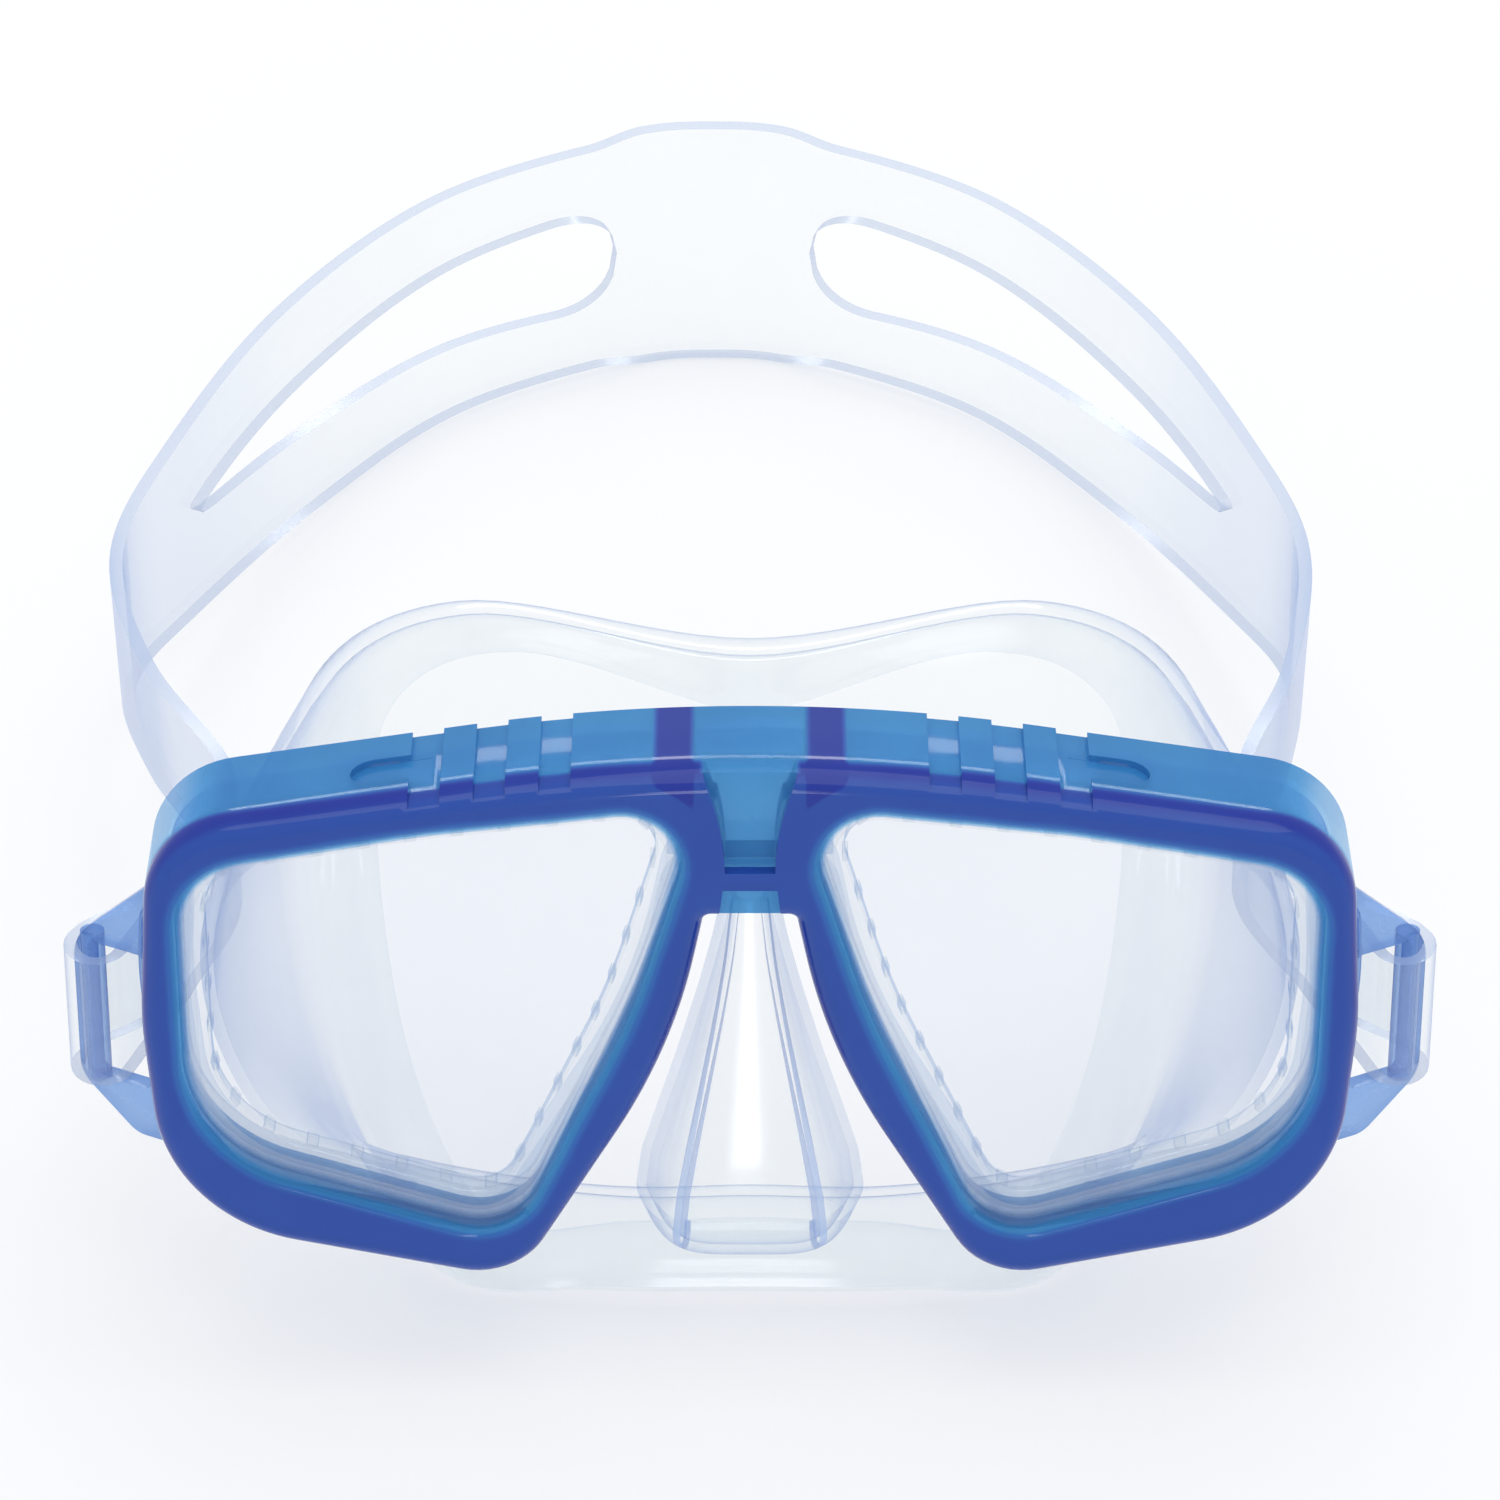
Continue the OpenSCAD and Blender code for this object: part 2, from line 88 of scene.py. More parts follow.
def new_piece(name, points, faces, smooth_angle=32):
    """A mesh piece from points in millimetres, with its doubles merged and its faces turned outwards."""
    mesh = bpy.data.meshes.new(name)
    mesh.from_pydata((np.asarray(points) / 1000).tolist(), [], faces)
    mesh.validate()
    bm = bmesh.new()
    bm.from_mesh(mesh)
    bmesh.ops.remove_doubles(bm, verts=bm.verts, dist=1e-6)
    bmesh.ops.recalc_face_normals(bm, faces=bm.faces)
    bm.to_mesh(mesh)
    bm.free()
    piece = bpy.data.objects.new(name, mesh)
    bpy.context.scene.collection.objects.link(piece)
    soften(piece, smooth_angle)
    return piece


def soften(piece, angle=32):
    piece.data.shade_smooth()
    piece.data.set_sharp_from_angle(angle=math.radians(angle))


def apply_modifiers(piece):
    """Turns the evaluated piece into a plain mesh."""
    shaped = bpy.data.meshes.new_from_object(
        piece.evaluated_get(bpy.context.evaluated_depsgraph_get()))
    piece.modifiers.clear()
    piece.data = shaped
    return piece


def join(name, pieces):
    """Makes one piece of several."""
    bm = bmesh.new()
    materials = []
    for piece in pieces:
        start = len(bm.faces)
        bm.from_mesh(piece.data)
        bm.faces.ensure_lookup_table()
        slots = [slot.material for slot in piece.material_slots]
        for material in slots:
            if material not in materials:
                materials.append(material)
        for face in bm.faces[start:]:
            face.material_index = materials.index(slots[face.material_index]) if slots else 0
    mesh = bpy.data.meshes.new(name)
    bm.to_mesh(mesh)
    bm.free()
    for material in materials:
        mesh.materials.append(material)
    for piece in pieces:
        bpy.data.objects.remove(piece)
    joined = bpy.data.objects.new(name, mesh)
    bpy.context.scene.collection.objects.link(joined)
    return joined


# ---- outlines of the frame and of the eyes' openings ----
# The brow is one long arc between two straight slopes, and every other corner is a round one, as
# the mould was cut. The lens openings are rounded teardrops that narrow towards the nose.

HALF_WIDTH = 83
HEIGHT = 80.5
BROW_SLOPE = math.radians(9)
BROW_RADIUS = 250
NOTCH_HALF = 6.2
NOTCH_TOP = 57.5
RIM_TOP, RIM_SIDE, RIM_BOTTOM = 9, 7.2, 9.6


def brow_z(x):
    """Height of the brow's top over x."""
    if abs(x) < BROW_RADIUS * math.sin(BROW_SLOPE):
        return HEIGHT - BROW_RADIUS + math.sqrt(BROW_RADIUS ** 2 - x * x)
    return HEIGHT + BROW_RADIUS * (1 / math.cos(BROW_SLOPE) - 1) - abs(x) * math.tan(BROW_SLOPE)


def rounded(corners, gap=1.4):
    """A closed line round corners (x, z, radius), with a point at least every gap."""
    line = []
    for i, (x, z, radius) in enumerate(corners):
        here = np.array([x, z])
        before = np.array(corners[i - 1][:2]) - here
        after = np.array(corners[(i + 1) % len(corners)][:2]) - here
        u, w = before / np.linalg.norm(before), after / np.linalg.norm(after)
        half = math.acos(float(u @ w)) / 2
        centre = here + (u + w) / np.linalg.norm(u + w) * radius / math.sin(half)
        start = here + u * radius / math.tan(half) - centre
        end = here + w * radius / math.tan(half) - centre
        first = math.atan2(start[1], start[0])
        sweep = math.atan2(start[0] * end[1] - start[1] * end[0], float(start @ end))
        steps = max(7, round(abs(sweep) * radius / gap))
        for angle in np.linspace(first, first + sweep, steps + 1):
            line.append(centre + radius * np.array([math.cos(angle), math.sin(angle)]))
    filled = []
    for a, b in zip(line, line[1:] + line[:1]):
        steps = max(1, math.ceil(np.linalg.norm(b - a) / gap))
        filled += [a + (b - a) * k / steps for k in range(steps)]
    return np.array(filled)


def outward(line):
    """Unit normals of a closed clockwise line, pointing out of it."""
    along = np.roll(line, -1, axis=0) - np.roll(line, 1, axis=0)
    along /= np.linalg.norm(along, axis=1)[:, None]
    return np.stack([-along[:, 1], along[:, 0]], axis=1)


def eye_top(x):
    return brow_z(x) - RIM_TOP / math.cos(BROW_SLOPE)


frame_half = [
    (HALF_WIDTH - 1.5, brow_z(HALF_WIDTH - 1.5), 14),
    (HALF_WIDTH + 0.4, HEIGHT / 2, 60),
    (HALF_WIDTH - 2, 8, 24),
    (NOTCH_HALF + 26.4, -2.4, 11),
    (NOTCH_HALF + 4.4, 35.5, 95),
    (NOTCH_HALF, NOTCH_TOP, 1.2),
]
brow_top = HEIGHT + BROW_RADIUS * (1 / math.cos(BROW_SLOPE) - 1)
frame_line = rounded(
    [(0, brow_top, BROW_RADIUS)] + frame_half + [(-x, z, r) for x, z, r in reversed(frame_half)])
right_eye = rounded([
    (NOTCH_HALF + 2.8, eye_top(9) + 1.6, 6),
    (HALF_WIDTH * 0.53, eye_top(HALF_WIDTH * 0.53) + 1.2, 90),
    (HALF_WIDTH - RIM_SIDE, eye_top(HALF_WIDTH) + 1.6, 9),
    (HALF_WIDTH - RIM_SIDE - 0.2, RIM_BOTTOM + 11.5, 18),
    (NOTCH_HALF + 28, RIM_BOTTOM - 2, 7),
    (NOTCH_HALF + 12, HEIGHT * 0.525, 115),
], gap=1.2)
left_eye = right_eye[::-1] * [-1, 1]


def loop_at(line, grow, depth):
    """The line grown outwards and set at a depth: either may be one number or one for each point."""
    flat = line + outward(line) * np.reshape(grow, (-1, 1))
    return np.stack([flat[:, 0], np.broadcast_to(depth, len(line)), flat[:, 1]], axis=1)


def bridge_loops(loops, start=0):
    """Quads between closed loops of the same length."""
    n = len(loops[0])
    return [
        [start + k * n + j, start + k * n + (j + 1) % n,
            start + (k + 1) * n + (j + 1) % n, start + (k + 1) * n + j]
        for k in range(len(loops) - 1) for j in range(n)
    ]


def surrounds(line, point):
    """True if a closed line goes round the point."""
    a, b = line, np.roll(line, -1, axis=0)
    crosses = (a[:, 1] > point[1]) != (b[:, 1] > point[1])
    with np.errstate(divide="ignore", invalid="ignore"):
        at = a[:, 0] + (point[1] - a[:, 1]) * (b[:, 0] - a[:, 0]) / (b[:, 1] - a[:, 1])
    return np.count_nonzero(crosses & (point[0] < at)) % 2 == 1


def fill_between(outer, holes):
    """Triangles that fill a flat outline round its holes, given as point numbers with their x and z."""
    numbers = [n for ring in (outer, *holes) for n, _ in ring]
    flat = [Vector(p) for ring in (outer, *holes) for _, p in ring]
    edges, start = [], 0
    for ring in (outer, *holes):
        edges += [(start + k, start + (k + 1) % len(ring)) for k in range(len(ring))]
        start += len(ring)
    verts, _, triangles, origin, _, _ = geometry.delaunay_2d_cdt(flat, edges, [], 1, 1e-7)
    hole_lines = [np.array([p for _, p in ring]) for ring in holes]
    kept = []
    for face in triangles:
        centre = np.mean([verts[v] for v in face], axis=0)
        if not any(surrounds(line, centre) for line in hole_lines):
            kept.append([numbers[origin[v][0]] for v in face])
    return kept


def smoothstep(value, low, high):
    t = np.clip((np.asarray(value, float) - low) / (high - low), 0, 1)
    return t * t * (3 - 2 * t)


# ---- front frame ----
# The frame that shows is one injection moulding in transparent blue polycarbonate: two deep rims
# joined by a brow and a thin bridge. It is polished in the mould, and darkest where it is thickest.

LIP_BACK = 3.4
SEAT_BACK = 8.9
WALL = 2.2
BROW_DEPTH, SIDE_DEPTH, FOOT_DEPTH = 19, 15, 13.2
EDGE_WIDTH = 2.8

x, z = frame_line.T
over_nose = (np.abs(x) < NOTCH_HALF + 25) & (z < NOTCH_TOP + 4)
wall_depth = FOOT_DEPTH + (SIDE_DEPTH - FOOT_DEPTH) * smoothstep(z, 8, 13)
wall_depth += (BROW_DEPTH - SIDE_DEPTH) * smoothstep(z, 53, 62)
wall_depth = np.where(over_nose, SEAT_BACK + 0.4, wall_depth)
edge_depth = 3 + 2.6 * smoothstep(z, 62, 76)

loops = [
    loop_at(frame_line, -WALL, SEAT_BACK),
    loop_at(frame_line, -WALL, wall_depth - 0.3),
    loop_at(frame_line, -WALL + 0.3, wall_depth),
    loop_at(frame_line, -0.3, wall_depth),
    loop_at(frame_line, 0, wall_depth - 0.3),
    loop_at(frame_line, 0, (wall_depth + edge_depth) / 2),
]
for turn in np.radians([0, 14, 28, 42, 55, 68, 79, 90]):
    loops.append(loop_at(
        frame_line, -EDGE_WIDTH * (1 - math.cos(turn)), edge_depth * (1 - math.sin(turn))))
loops.append(loop_at(frame_line, -EDGE_WIDTH - 0.2, 0))

points = np.concatenate(loops)
faces = bridge_loops(loops)
n = len(frame_line)
front_outer = [(len(points) - n + k, points[len(points) - n + k, [0, 2]]) for k in range(n)]
back_outer = [(k, points[k, [0, 2]]) for k in range(n)]
front_holes, back_holes = [], []
# from the flat of the rim in to the lens's edge, then the seat that the lens lies in
LIP_PROFILE = [
    (3.3, 0), (3.1, 0.02), (2.65, 0.2), (2.1, 0.62), (1.5, 1.2), (0.9, 1.8), (0.4, 2.35), (0.1, 2.85),
    (0, 3.2), (0.1, LIP_BACK), (2.45, LIP_BACK), (2.45, SEAT_BACK),
]
for eye in (right_eye, left_eye):
    rings = [loop_at(eye, grow, depth) for grow, depth in LIP_PROFILE]
    start = len(points)
    faces += bridge_loops(rings, start)
    points = np.concatenate([points, *rings])
    n = len(eye)
    front_holes.append([(start + k, points[start + k, [0, 2]]) for k in range(n)])
    last = len(points) - n
    back_holes.append([(last + k, points[last + k, [0, 2]]) for k in range(n)])
faces += fill_between(front_outer, front_holes) + fill_between(back_outer, back_holes)
front = new_piece("front_frame_moulding", lean_back(points), faces)


def prism(outline, low, high, axis="y"):
    """Points and faces of an outline pushed along an axis: in x and z along y, or in x and y along z."""
    n = len(outline)
    points = [(a, v, b) if axis == "y" else (a, b, v) for v in (low, high) for a, b in outline]
    sides = [[j, (j + 1) % n, n + (j + 1) % n, n + j] for j in range(n)]
    return np.array(points, float), [list(range(n)), list(range(2 * n - 1, n - 1, -1))] + sides


def cut(piece, cutters):
    """Takes closed shapes, each points and faces in the upright frame, out of a piece."""
    for k, (points, faces) in enumerate(cutters):
        tool = new_piece(f"cutter_{k}", lean_back(points), faces)
        difference = piece.modifiers.new(f"cut_{k}", "BOOLEAN")
        difference.operation = "DIFFERENCE"
        difference.solver = "EXACT"
        difference.object = tool
        apply_modifiers(piece)
        bpy.data.objects.remove(tool)
    soften(piece)


# the bridge: a thin plate over and under a cross bar, with the upper plate waisted
BAR_LOW, BAR_HIGH = 62.4, 65.1
PLATE_FRONT, PLATE_BACK = 2, 4.4
plate_z = np.linspace(BAR_HIGH, HEIGHT - 0.9, 9)
plate_half = 3.4 + 2.9 * ((plate_z - BAR_HIGH) / (plate_z[-1] - BAR_HIGH)) ** 2
upper = list(zip(plate_half, plate_z)) + list(zip(-plate_half[::-1], plate_z[::-1]))
lower = [(3.7, BAR_LOW), (4.6, NOTCH_TOP - 3), (-4.6, NOTCH_TOP - 3), (-3.7, BAR_LOW)]
open_upper = upper[:9] + [(6.4, HEIGHT + 2), (-6.4, HEIGHT + 2)] + upper[9:]
cutters = [
    prism(open_upper, -1, PLATE_FRONT),
    prism(lower, -1, PLATE_FRONT),
    prism([(x * 0.98, z - 1.8 * (z > 75)) for x, z in upper], PLATE_BACK, SEAT_BACK + 1),
    prism(lower, PLATE_BACK, SEAT_BACK + 1.5),
]

# grooves across the brow leave two raised ribs on each side; they run out down the rounded front
GROOVE_WIDTH, GROOVE_DEPTH, GROOVE_RUNOUT = 4.3, 0.95, 2.3
GROOVE_PITCH = 2 * GROOVE_WIDTH + 0.2
for side in (-1, 1):
    for k in range(3):
        middle = side * (26.2 + k * GROOVE_PITCH)
        wedge = []
        for back, drop in ((-1, GROOVE_RUNOUT), (2.4, GROOVE_DEPTH), (BROW_DEPTH + 2, GROOVE_DEPTH)):
            for across in (-GROOVE_WIDTH / 2, GROOVE_WIDTH / 2):
                for up in (-drop, 6):
                    wedge.append((middle + across, back, brow_z(middle + across) + up))
        sides = [[a, b, b + 4, a + 4]
            for s in (0, 4) for a, b in ((s, s + 1), (s + 1, s + 3), (s + 3, s + 2), (s + 2, s))]
        cutters.append((np.array(wedge), [[0, 1, 3, 2], [8, 9, 11, 10]] + sides))

# a shallow pocket over each hook of the rear frame, round at its outer end
POCKET_DEEP = 1
HOOK_ACROSS, HOOK_HALF = 51, 3.8
for side in (-1, 1):
    outline = [(43, 6.4), (43, 12.6), (HOOK_ACROSS, 12.6)]
    outline += [(HOOK_ACROSS + 3.1 * math.sin(a), 9.5 + 3.1 * math.cos(a))
        for a in np.linspace(0, math.pi, 9)[1:]]
    points, faces = prism([(side * x, y) for x, y in outline], 0, 7, axis="z")
    points[:, 2] += [brow_z(x) - POCKET_DEEP for x in points[:, 0]]
    cutters.append((points, faces))
cut(front, cutters)


def upright(piece):
    """A piece's points back in the upright frame."""
    co = np.zeros(len(piece.data.vertices) * 3)
    piece.data.vertices.foreach_get("co", co)
    x, y, z = (co.reshape(-1, 3) * 1000).T
    y, z = y - bar_y, z - bar_z
    return np.stack([
        x,
        y * math.cos(LEAN) - z * math.sin(LEAN) + BAR_BACK,
        y * math.sin(LEAN) + z * math.cos(LEAN) + BAR_UP,
    ], axis=1)


def nearest(points, lines):
    """Distance of each point, in x and z, to the nearest of the lines."""
    line = np.concatenate(lines)
    return np.array([np.min(np.hypot(*(line - p).T)) for p in points])


def measure(piece):
    """Writes how far back each point lies, and how far from the lens's edge and the frame's."""
    at = upright(piece)
    for name, values in (
        ("back", at[:, 1]),
        ("from_lens", nearest(at[:, [0, 2]], [right_eye, left_eye])),
        ("from_edge", nearest(at[:, [0, 2]], [frame_line])),
    ):
        layer = piece.data.attributes.new(name, "FLOAT", "POINT")
        layer.data.foreach_set("value", values.astype(np.float32))


measure(front)


def linear(hex_colour):
    """An sRGB hex colour as linear red, green, blue and alpha."""
    parts = [int(hex_colour[i:i + 2], 16) / 255 for i in (1, 3, 5)]
    return tuple(c / 12.92 if c <= 0.04045 else ((c + 0.055) / 1.055) ** 2.4 for c in parts) + (1.0,)


def add_node(tree, kind, inputs=(), **settings):
    """A node with its settings, and its inputs linked or set by name or number."""
    node = tree.nodes.new(kind)
    for name, value in settings.items():
        setattr(node, name, value)
    for name, value in dict(inputs).items():
        if isinstance(value, bpy.types.NodeSocket):
            tree.links.new(value, node.inputs[name])
        else:
            node.inputs[name].default_value = value
    return node


def new_material(name):
    material = bpy.data.materials.new(name)
    material.use_nodes = True
    material.node_tree.nodes.clear()
    return material, material.node_tree


def stops_on(node, stops):
    """Gives a colour ramp its (place, hex colour) stops."""
    node.color_ramp.interpolation = "EASE"
    elements = node.color_ramp.elements
    while len(elements) < len(stops):
        elements.new(0.5)
    for element, (place, colour) in zip(elements, stops):
        element.position = place
        element.color = linear(colour)
    return node.outputs["Color"]


MAP, MATH, RAMP = "ShaderNodeMapRange", "ShaderNodeMath", "ShaderNodeValToRGB"
SMOOTH = {"interpolation_type": "SMOOTHSTEP"}


def limits(value, low, high, out_low=0.0, out_high=1.0):
    """The inputs of a map range."""
    return {
        "Value": value, "From Min": low, "From Max": high, "To Min": out_low, "To Max": out_high,
    }


def mould_skin(tree, scale, strength):
    """The faint orange peel of a moulded surface, as a normal."""
    place = add_node(tree, "ShaderNodeTexCoord").outputs["Object"]
    peel = add_node(tree, "ShaderNodeTexNoise", {"Vector": place, "Scale": scale, "Detail": 3.0})
    return add_node(tree, "ShaderNodeBump", {
        "Height": peel.outputs["Fac"], "Strength": strength, "Distance": 0.0004,
    }).outputs["Normal"], peel.outputs["Fac"]


def see_through(tree, body, tint, solid):
    """A body shader over a clear tint: solid says how much of the body hides what is behind it."""
    clear = add_node(tree, "ShaderNodeBsdfTransparent", {"Color": tint})
    mixed = add_node(tree, "ShaderNodeMixShader", {0: solid, 1: clear.outputs[0], 2: body})
    add_node(tree, "ShaderNodeOutputMaterial", {"Surface": mixed.outputs[0]})


# Transparent polycarbonate, injection moulded and polished: the same dye reads as cyan where the
# wall is thin, as royal blue through the rims and as indigo along their edges.
blue_plastic, tree = new_material("blue_polycarbonate_moulded")
back = add_node(tree, "ShaderNodeAttribute", attribute_name="back").outputs["Fac"]
from_lens = add_node(tree, "ShaderNodeAttribute", attribute_name="from_lens").outputs["Fac"]
from_edge = add_node(tree, "ShaderNodeAttribute", attribute_name="from_edge").outputs["Fac"]
place = add_node(tree, "ShaderNodeSeparateXYZ", {
    0: add_node(tree, "ShaderNodeTexCoord").outputs["Object"]})
across = add_node(tree, MATH, {0: place.outputs["X"]}, operation="ABSOLUTE").outputs[0]
front_only = add_node(tree, MAP, limits(back, 3.0, 5.2, 1.0, 0.0), **SMOOTH).outputs[0]
rim = add_node(tree, MAP, limits(front_only, 0.0, 1.0, 0.36, 0.80), **SMOOTH).outputs[0]
edge = add_node(tree, MAP, limits(from_edge, 0.2, 1.6, 0.19, 0.0), **SMOOTH).outputs[0]
edge = add_node(tree, MATH, {0: edge, 1: front_only}, operation="MULTIPLY").outputs[0]
temple = add_node(tree, MAP, limits(across, 0.070, 0.080, 0.0, 0.2), **SMOOTH).outputs[0]
behind = add_node(tree, MAP, limits(back, 3.0, 6.0), **SMOOTH).outputs[0]
temple = add_node(tree, MATH, {0: temple, 1: behind}, operation="MULTIPLY").outputs[0]
post = add_node(tree, MAP, limits(across, 0.0072, 0.0084, 0.0, 0.6), **SMOOTH).outputs[0]
post_end = add_node(tree, MAP, limits(across, 0.0122, 0.0134, 1.0, 0.0), **SMOOTH).outputs[0]
post = add_node(tree, MATH, {0: post, 1: post_end}, operation="MULTIPLY").outputs[0]
off_lens = add_node(tree, MAP, limits(from_lens, 7.0, 8.6), **SMOOTH).outputs[0]
post = add_node(tree, MATH, {0: post, 1: off_lens}, operation="MULTIPLY").outputs[0]
thick = add_node(tree, MATH, {0: rim, 1: edge}, operation="ADD").outputs[0]
thick = add_node(tree, MATH, {0: thick, 1: post}, operation="ADD").outputs[0]
thick = add_node(tree, MATH, {0: thick, 1: temple}, operation="SUBTRACT").outputs[0]
lip = add_node(tree, MAP, limits(from_lens, 0.6, 4.3), **SMOOTH).outputs[0]
thick = add_node(tree, MATH, {0: thick, 1: lip}, operation="MULTIPLY").outputs[0]
plate = add_node(tree, MAP, limits(across, 0.0058, 0.0070, 1.0, 0.0), **SMOOTH).outputs[0]
sunk = add_node(tree, MAP, limits(back, 1.7, 1.95), **SMOOTH).outputs[0]
plate = add_node(tree, MATH, {0: plate, 1: sunk}, operation="MULTIPLY").outputs[0]
not_rear = add_node(tree, MAP, limits(back, 5.0, 8.0, 1.0, 0.0), **SMOOTH).outputs[0]
plate = add_node(tree, MATH, {0: plate, 1: not_rear}, operation="MULTIPLY").outputs[0]
PLATE_DYE = 0.28
thick = add_node(tree, "ShaderNodeMix", {
    "Factor": plate, "A": thick, "B": PLATE_DYE}, data_type="FLOAT").outputs["Result"]
normal, peel = mould_skin(tree, 90.0, 0.05)
wander = add_node(tree, MAP, limits(peel, 0.3, 0.7, -0.02, 0.02), **SMOOTH).outputs[0]
thick = add_node(tree, MATH, {0: thick, 1: wander}, operation="ADD", use_clamp=True).outputs[0]
DYE = [
    (0.0, "#f4f7fb"), (0.10, "#a6cbe8"), (0.26, "#4ea3d6"), (0.40, "#3b8bc5"),
    (0.60, "#2d66b3"), (0.80, "#254ba4"), (1.0, "#1c3297"),
]
colour = stops_on(add_node(tree, RAMP, {"Fac": thick}), DYE)
body = add_node(tree, "ShaderNodeBsdfPrincipled", {
    "Base Color": colour, "Roughness": 0.07, "IOR": 1.58, "Specular IOR Level": 0.25, "Normal": normal,
})
tint = stops_on(add_node(tree, RAMP, {"Fac": thick}), [
    (0.0, "#ffffff"), (0.3, "#a4d2f2"), (0.6, "#6c92dc"), (1.0, "#5a5ccc"),
])
solid = add_node(tree, MAP, limits(thick, 0.0, 0.7, 0.10, 0.95), **SMOOTH).outputs[0]
see_through(tree, body.outputs[0], tint, solid)

front.data.materials.append(blue_plastic)
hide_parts("front_frame")
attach(front, "mask")


# ---- rear frame ----
# The second moulding, in a paler blue, snaps into the front frame from behind and clamps the skirt.
# It carries the wings that close the sides, the slotted lugs with their bars, the hooks and posts.

REAR_BACK = 10.9
REAR_DEEP = 6.5
RING_IN = 6
WING_BACK = 15.3
LUG_ROOT = (80, 17.6)
LUG_TURN = math.radians(28)
LUG_THICK = 2.6
BAR_OUT = 12.6
BAR_RADIUS = 1.7
SLOT_OUT, SLOT_HALF = 3.4, 11

x, z = frame_line.T
wing = smoothstep(z, 9, 17) * (1 - smoothstep(z, 48, 55)) * (np.abs(x) > HALF_WIDTH - 14)
outer = -2.5 + 4.0 * wing
rear_end = REAR_BACK + REAR_DEEP + 0.2 * wing
rear_loops = [
    loop_at(frame_line, -RING_IN, REAR_BACK + 0.3),
    loop_at(frame_line, -RING_IN + 0.3, REAR_BACK),
    loop_at(frame_line, -2.8, REAR_BACK),
    loop_at(frame_line, -2.5, REAR_BACK + 0.3),
    loop_at(frame_line, -2.5, WING_BACK),
    loop_at(frame_line, outer - 0.35 * wing, WING_BACK + 0.02),
    loop_at(frame_line, outer, WING_BACK + 0.4),
    loop_at(frame_line, outer, rear_end - 0.4),
    loop_at(frame_line, outer - 0.4, rear_end),
    loop_at(frame_line, -RING_IN + 0.4, rear_end),
    loop_at(frame_line, -RING_IN, rear_end - 0.4),
]
ring = new_piece("rear_ring", lean_back(np.concatenate(rear_loops)),
    bridge_loops(rear_loops + rear_loops[:1]))


def slab(name, outline, low, high, bevel, holes=(), turn=None):
    """A flat moulded plate: an outline in x and z, from low to high along y, with rounded edges."""
    rings = [list(outline)] + [list(hole) for hole in holes]
    flat = np.array([p for ring in rings for p in ring])
    n = len(flat)
    points = np.concatenate([
        np.stack([flat[:, 0], np.full(n, v), flat[:, 1]], axis=1) for v in (low, high)])
    numbered, sides, start = [], [], 0
    for line in rings:
        numbered.append([(start + k, flat[start + k]) for k in range(len(line))])
        for k in range(len(line)):
            a, b = start + k, start + (k + 1) % len(line)
            sides.append([a, b, n + b, n + a])
        start += len(line)
    face = fill_between(numbered[0], numbered[1:])
    faces = face + [[v + n for v in tri[::-1]] for tri in face] + sides
    if turn is not None:
        points = turn(points)
    piece = new_piece(name, lean_back(points), faces)
    rounding = piece.modifiers.new("rounding", "BEVEL")
    rounding.width = bevel / 1000
    rounding.segments = 3
    rounding.limit_method = "ANGLE"
    rounding.angle_limit = math.radians(50)
    apply_modifiers(piece)
    soften(piece, 50)
    return piece


def lug_turn(side):
    """Swings a plate that lies along the lug's own length round to its place on one side."""
    def turned(points):
        out, back, up = points.T
        return np.stack([
            side * (LUG_ROOT[0] + out * math.cos(LUG_TURN) - back * math.sin(LUG_TURN)),
            LUG_ROOT[1] + out * math.sin(LUG_TURN) + back * math.cos(LUG_TURN),
            BAR_UP + up,
        ], axis=1)
    return turned


lug_outline = rounded([
    (0, -19, 0.5), (0, 21.8, 0.5), (2.5, 22.5, 3), (BAR_OUT + 2.4, SLOT_HALF, 8),
    (BAR_OUT + 2.4, -SLOT_HALF - 0.5, 5), (6, -19, 4),
], gap=1.2)
slot_outline = rounded([
    (SLOT_OUT, -SLOT_HALF, 1), (SLOT_OUT, SLOT_HALF, 1), (BAR_OUT, SLOT_HALF, 1), (BAR_OUT, -SLOT_HALF, 1),
], gap=2)
rear_parts = [ring]
for side in (-1, 1):
    turn = lug_turn(side)
    rear_parts.append(slab("lug", lug_outline, -LUG_THICK, 0, 0.5, [slot_outline], turn))
    circle = [(BAR_OUT + BAR_RADIUS * math.cos(a), -LUG_THICK / 2 + BAR_RADIUS * math.sin(a))
        for a in np.linspace(0, 2 * math.pi, 28, endpoint=False)]
    points, faces = prism(circle, -SLOT_HALF - 1, SLOT_HALF + 1, axis="z")
    rear_parts.append(new_piece("bar", lean_back(turn(points)), faces))
    hook = [(side * (HOOK_ACROSS + a), brow_z(HOOK_ACROSS + a) + b)
        for a, b in ((-HOOK_HALF, -4.2), (-HOOK_HALF, -0.6), (HOOK_HALF, -0.6), (HOOK_HALF, -4.2))]
    rear_parts.append(slab("hook", hook, 12.5, 15.1, 0.4))
    foot = [(side * (HOOK_ACROSS + a), b)
        for a, b in ((-HOOK_HALF, 2), (-HOOK_HALF, 5.5), (HOOK_HALF, 5.5), (HOOK_HALF, 2))]
    rear_parts.append(slab("hook", foot, 12.5, 15.1, 0.4))
    post = [(side * a, b) for a, b in ((8, 61.5), (8, 76), (11.4, 76), (11.4, 61.5))]
    rear_parts.append(slab("post", post, REAR_BACK, REAR_BACK + REAR_DEEP, 0.4))
rear = join("rear_frame_moulding", rear_parts)

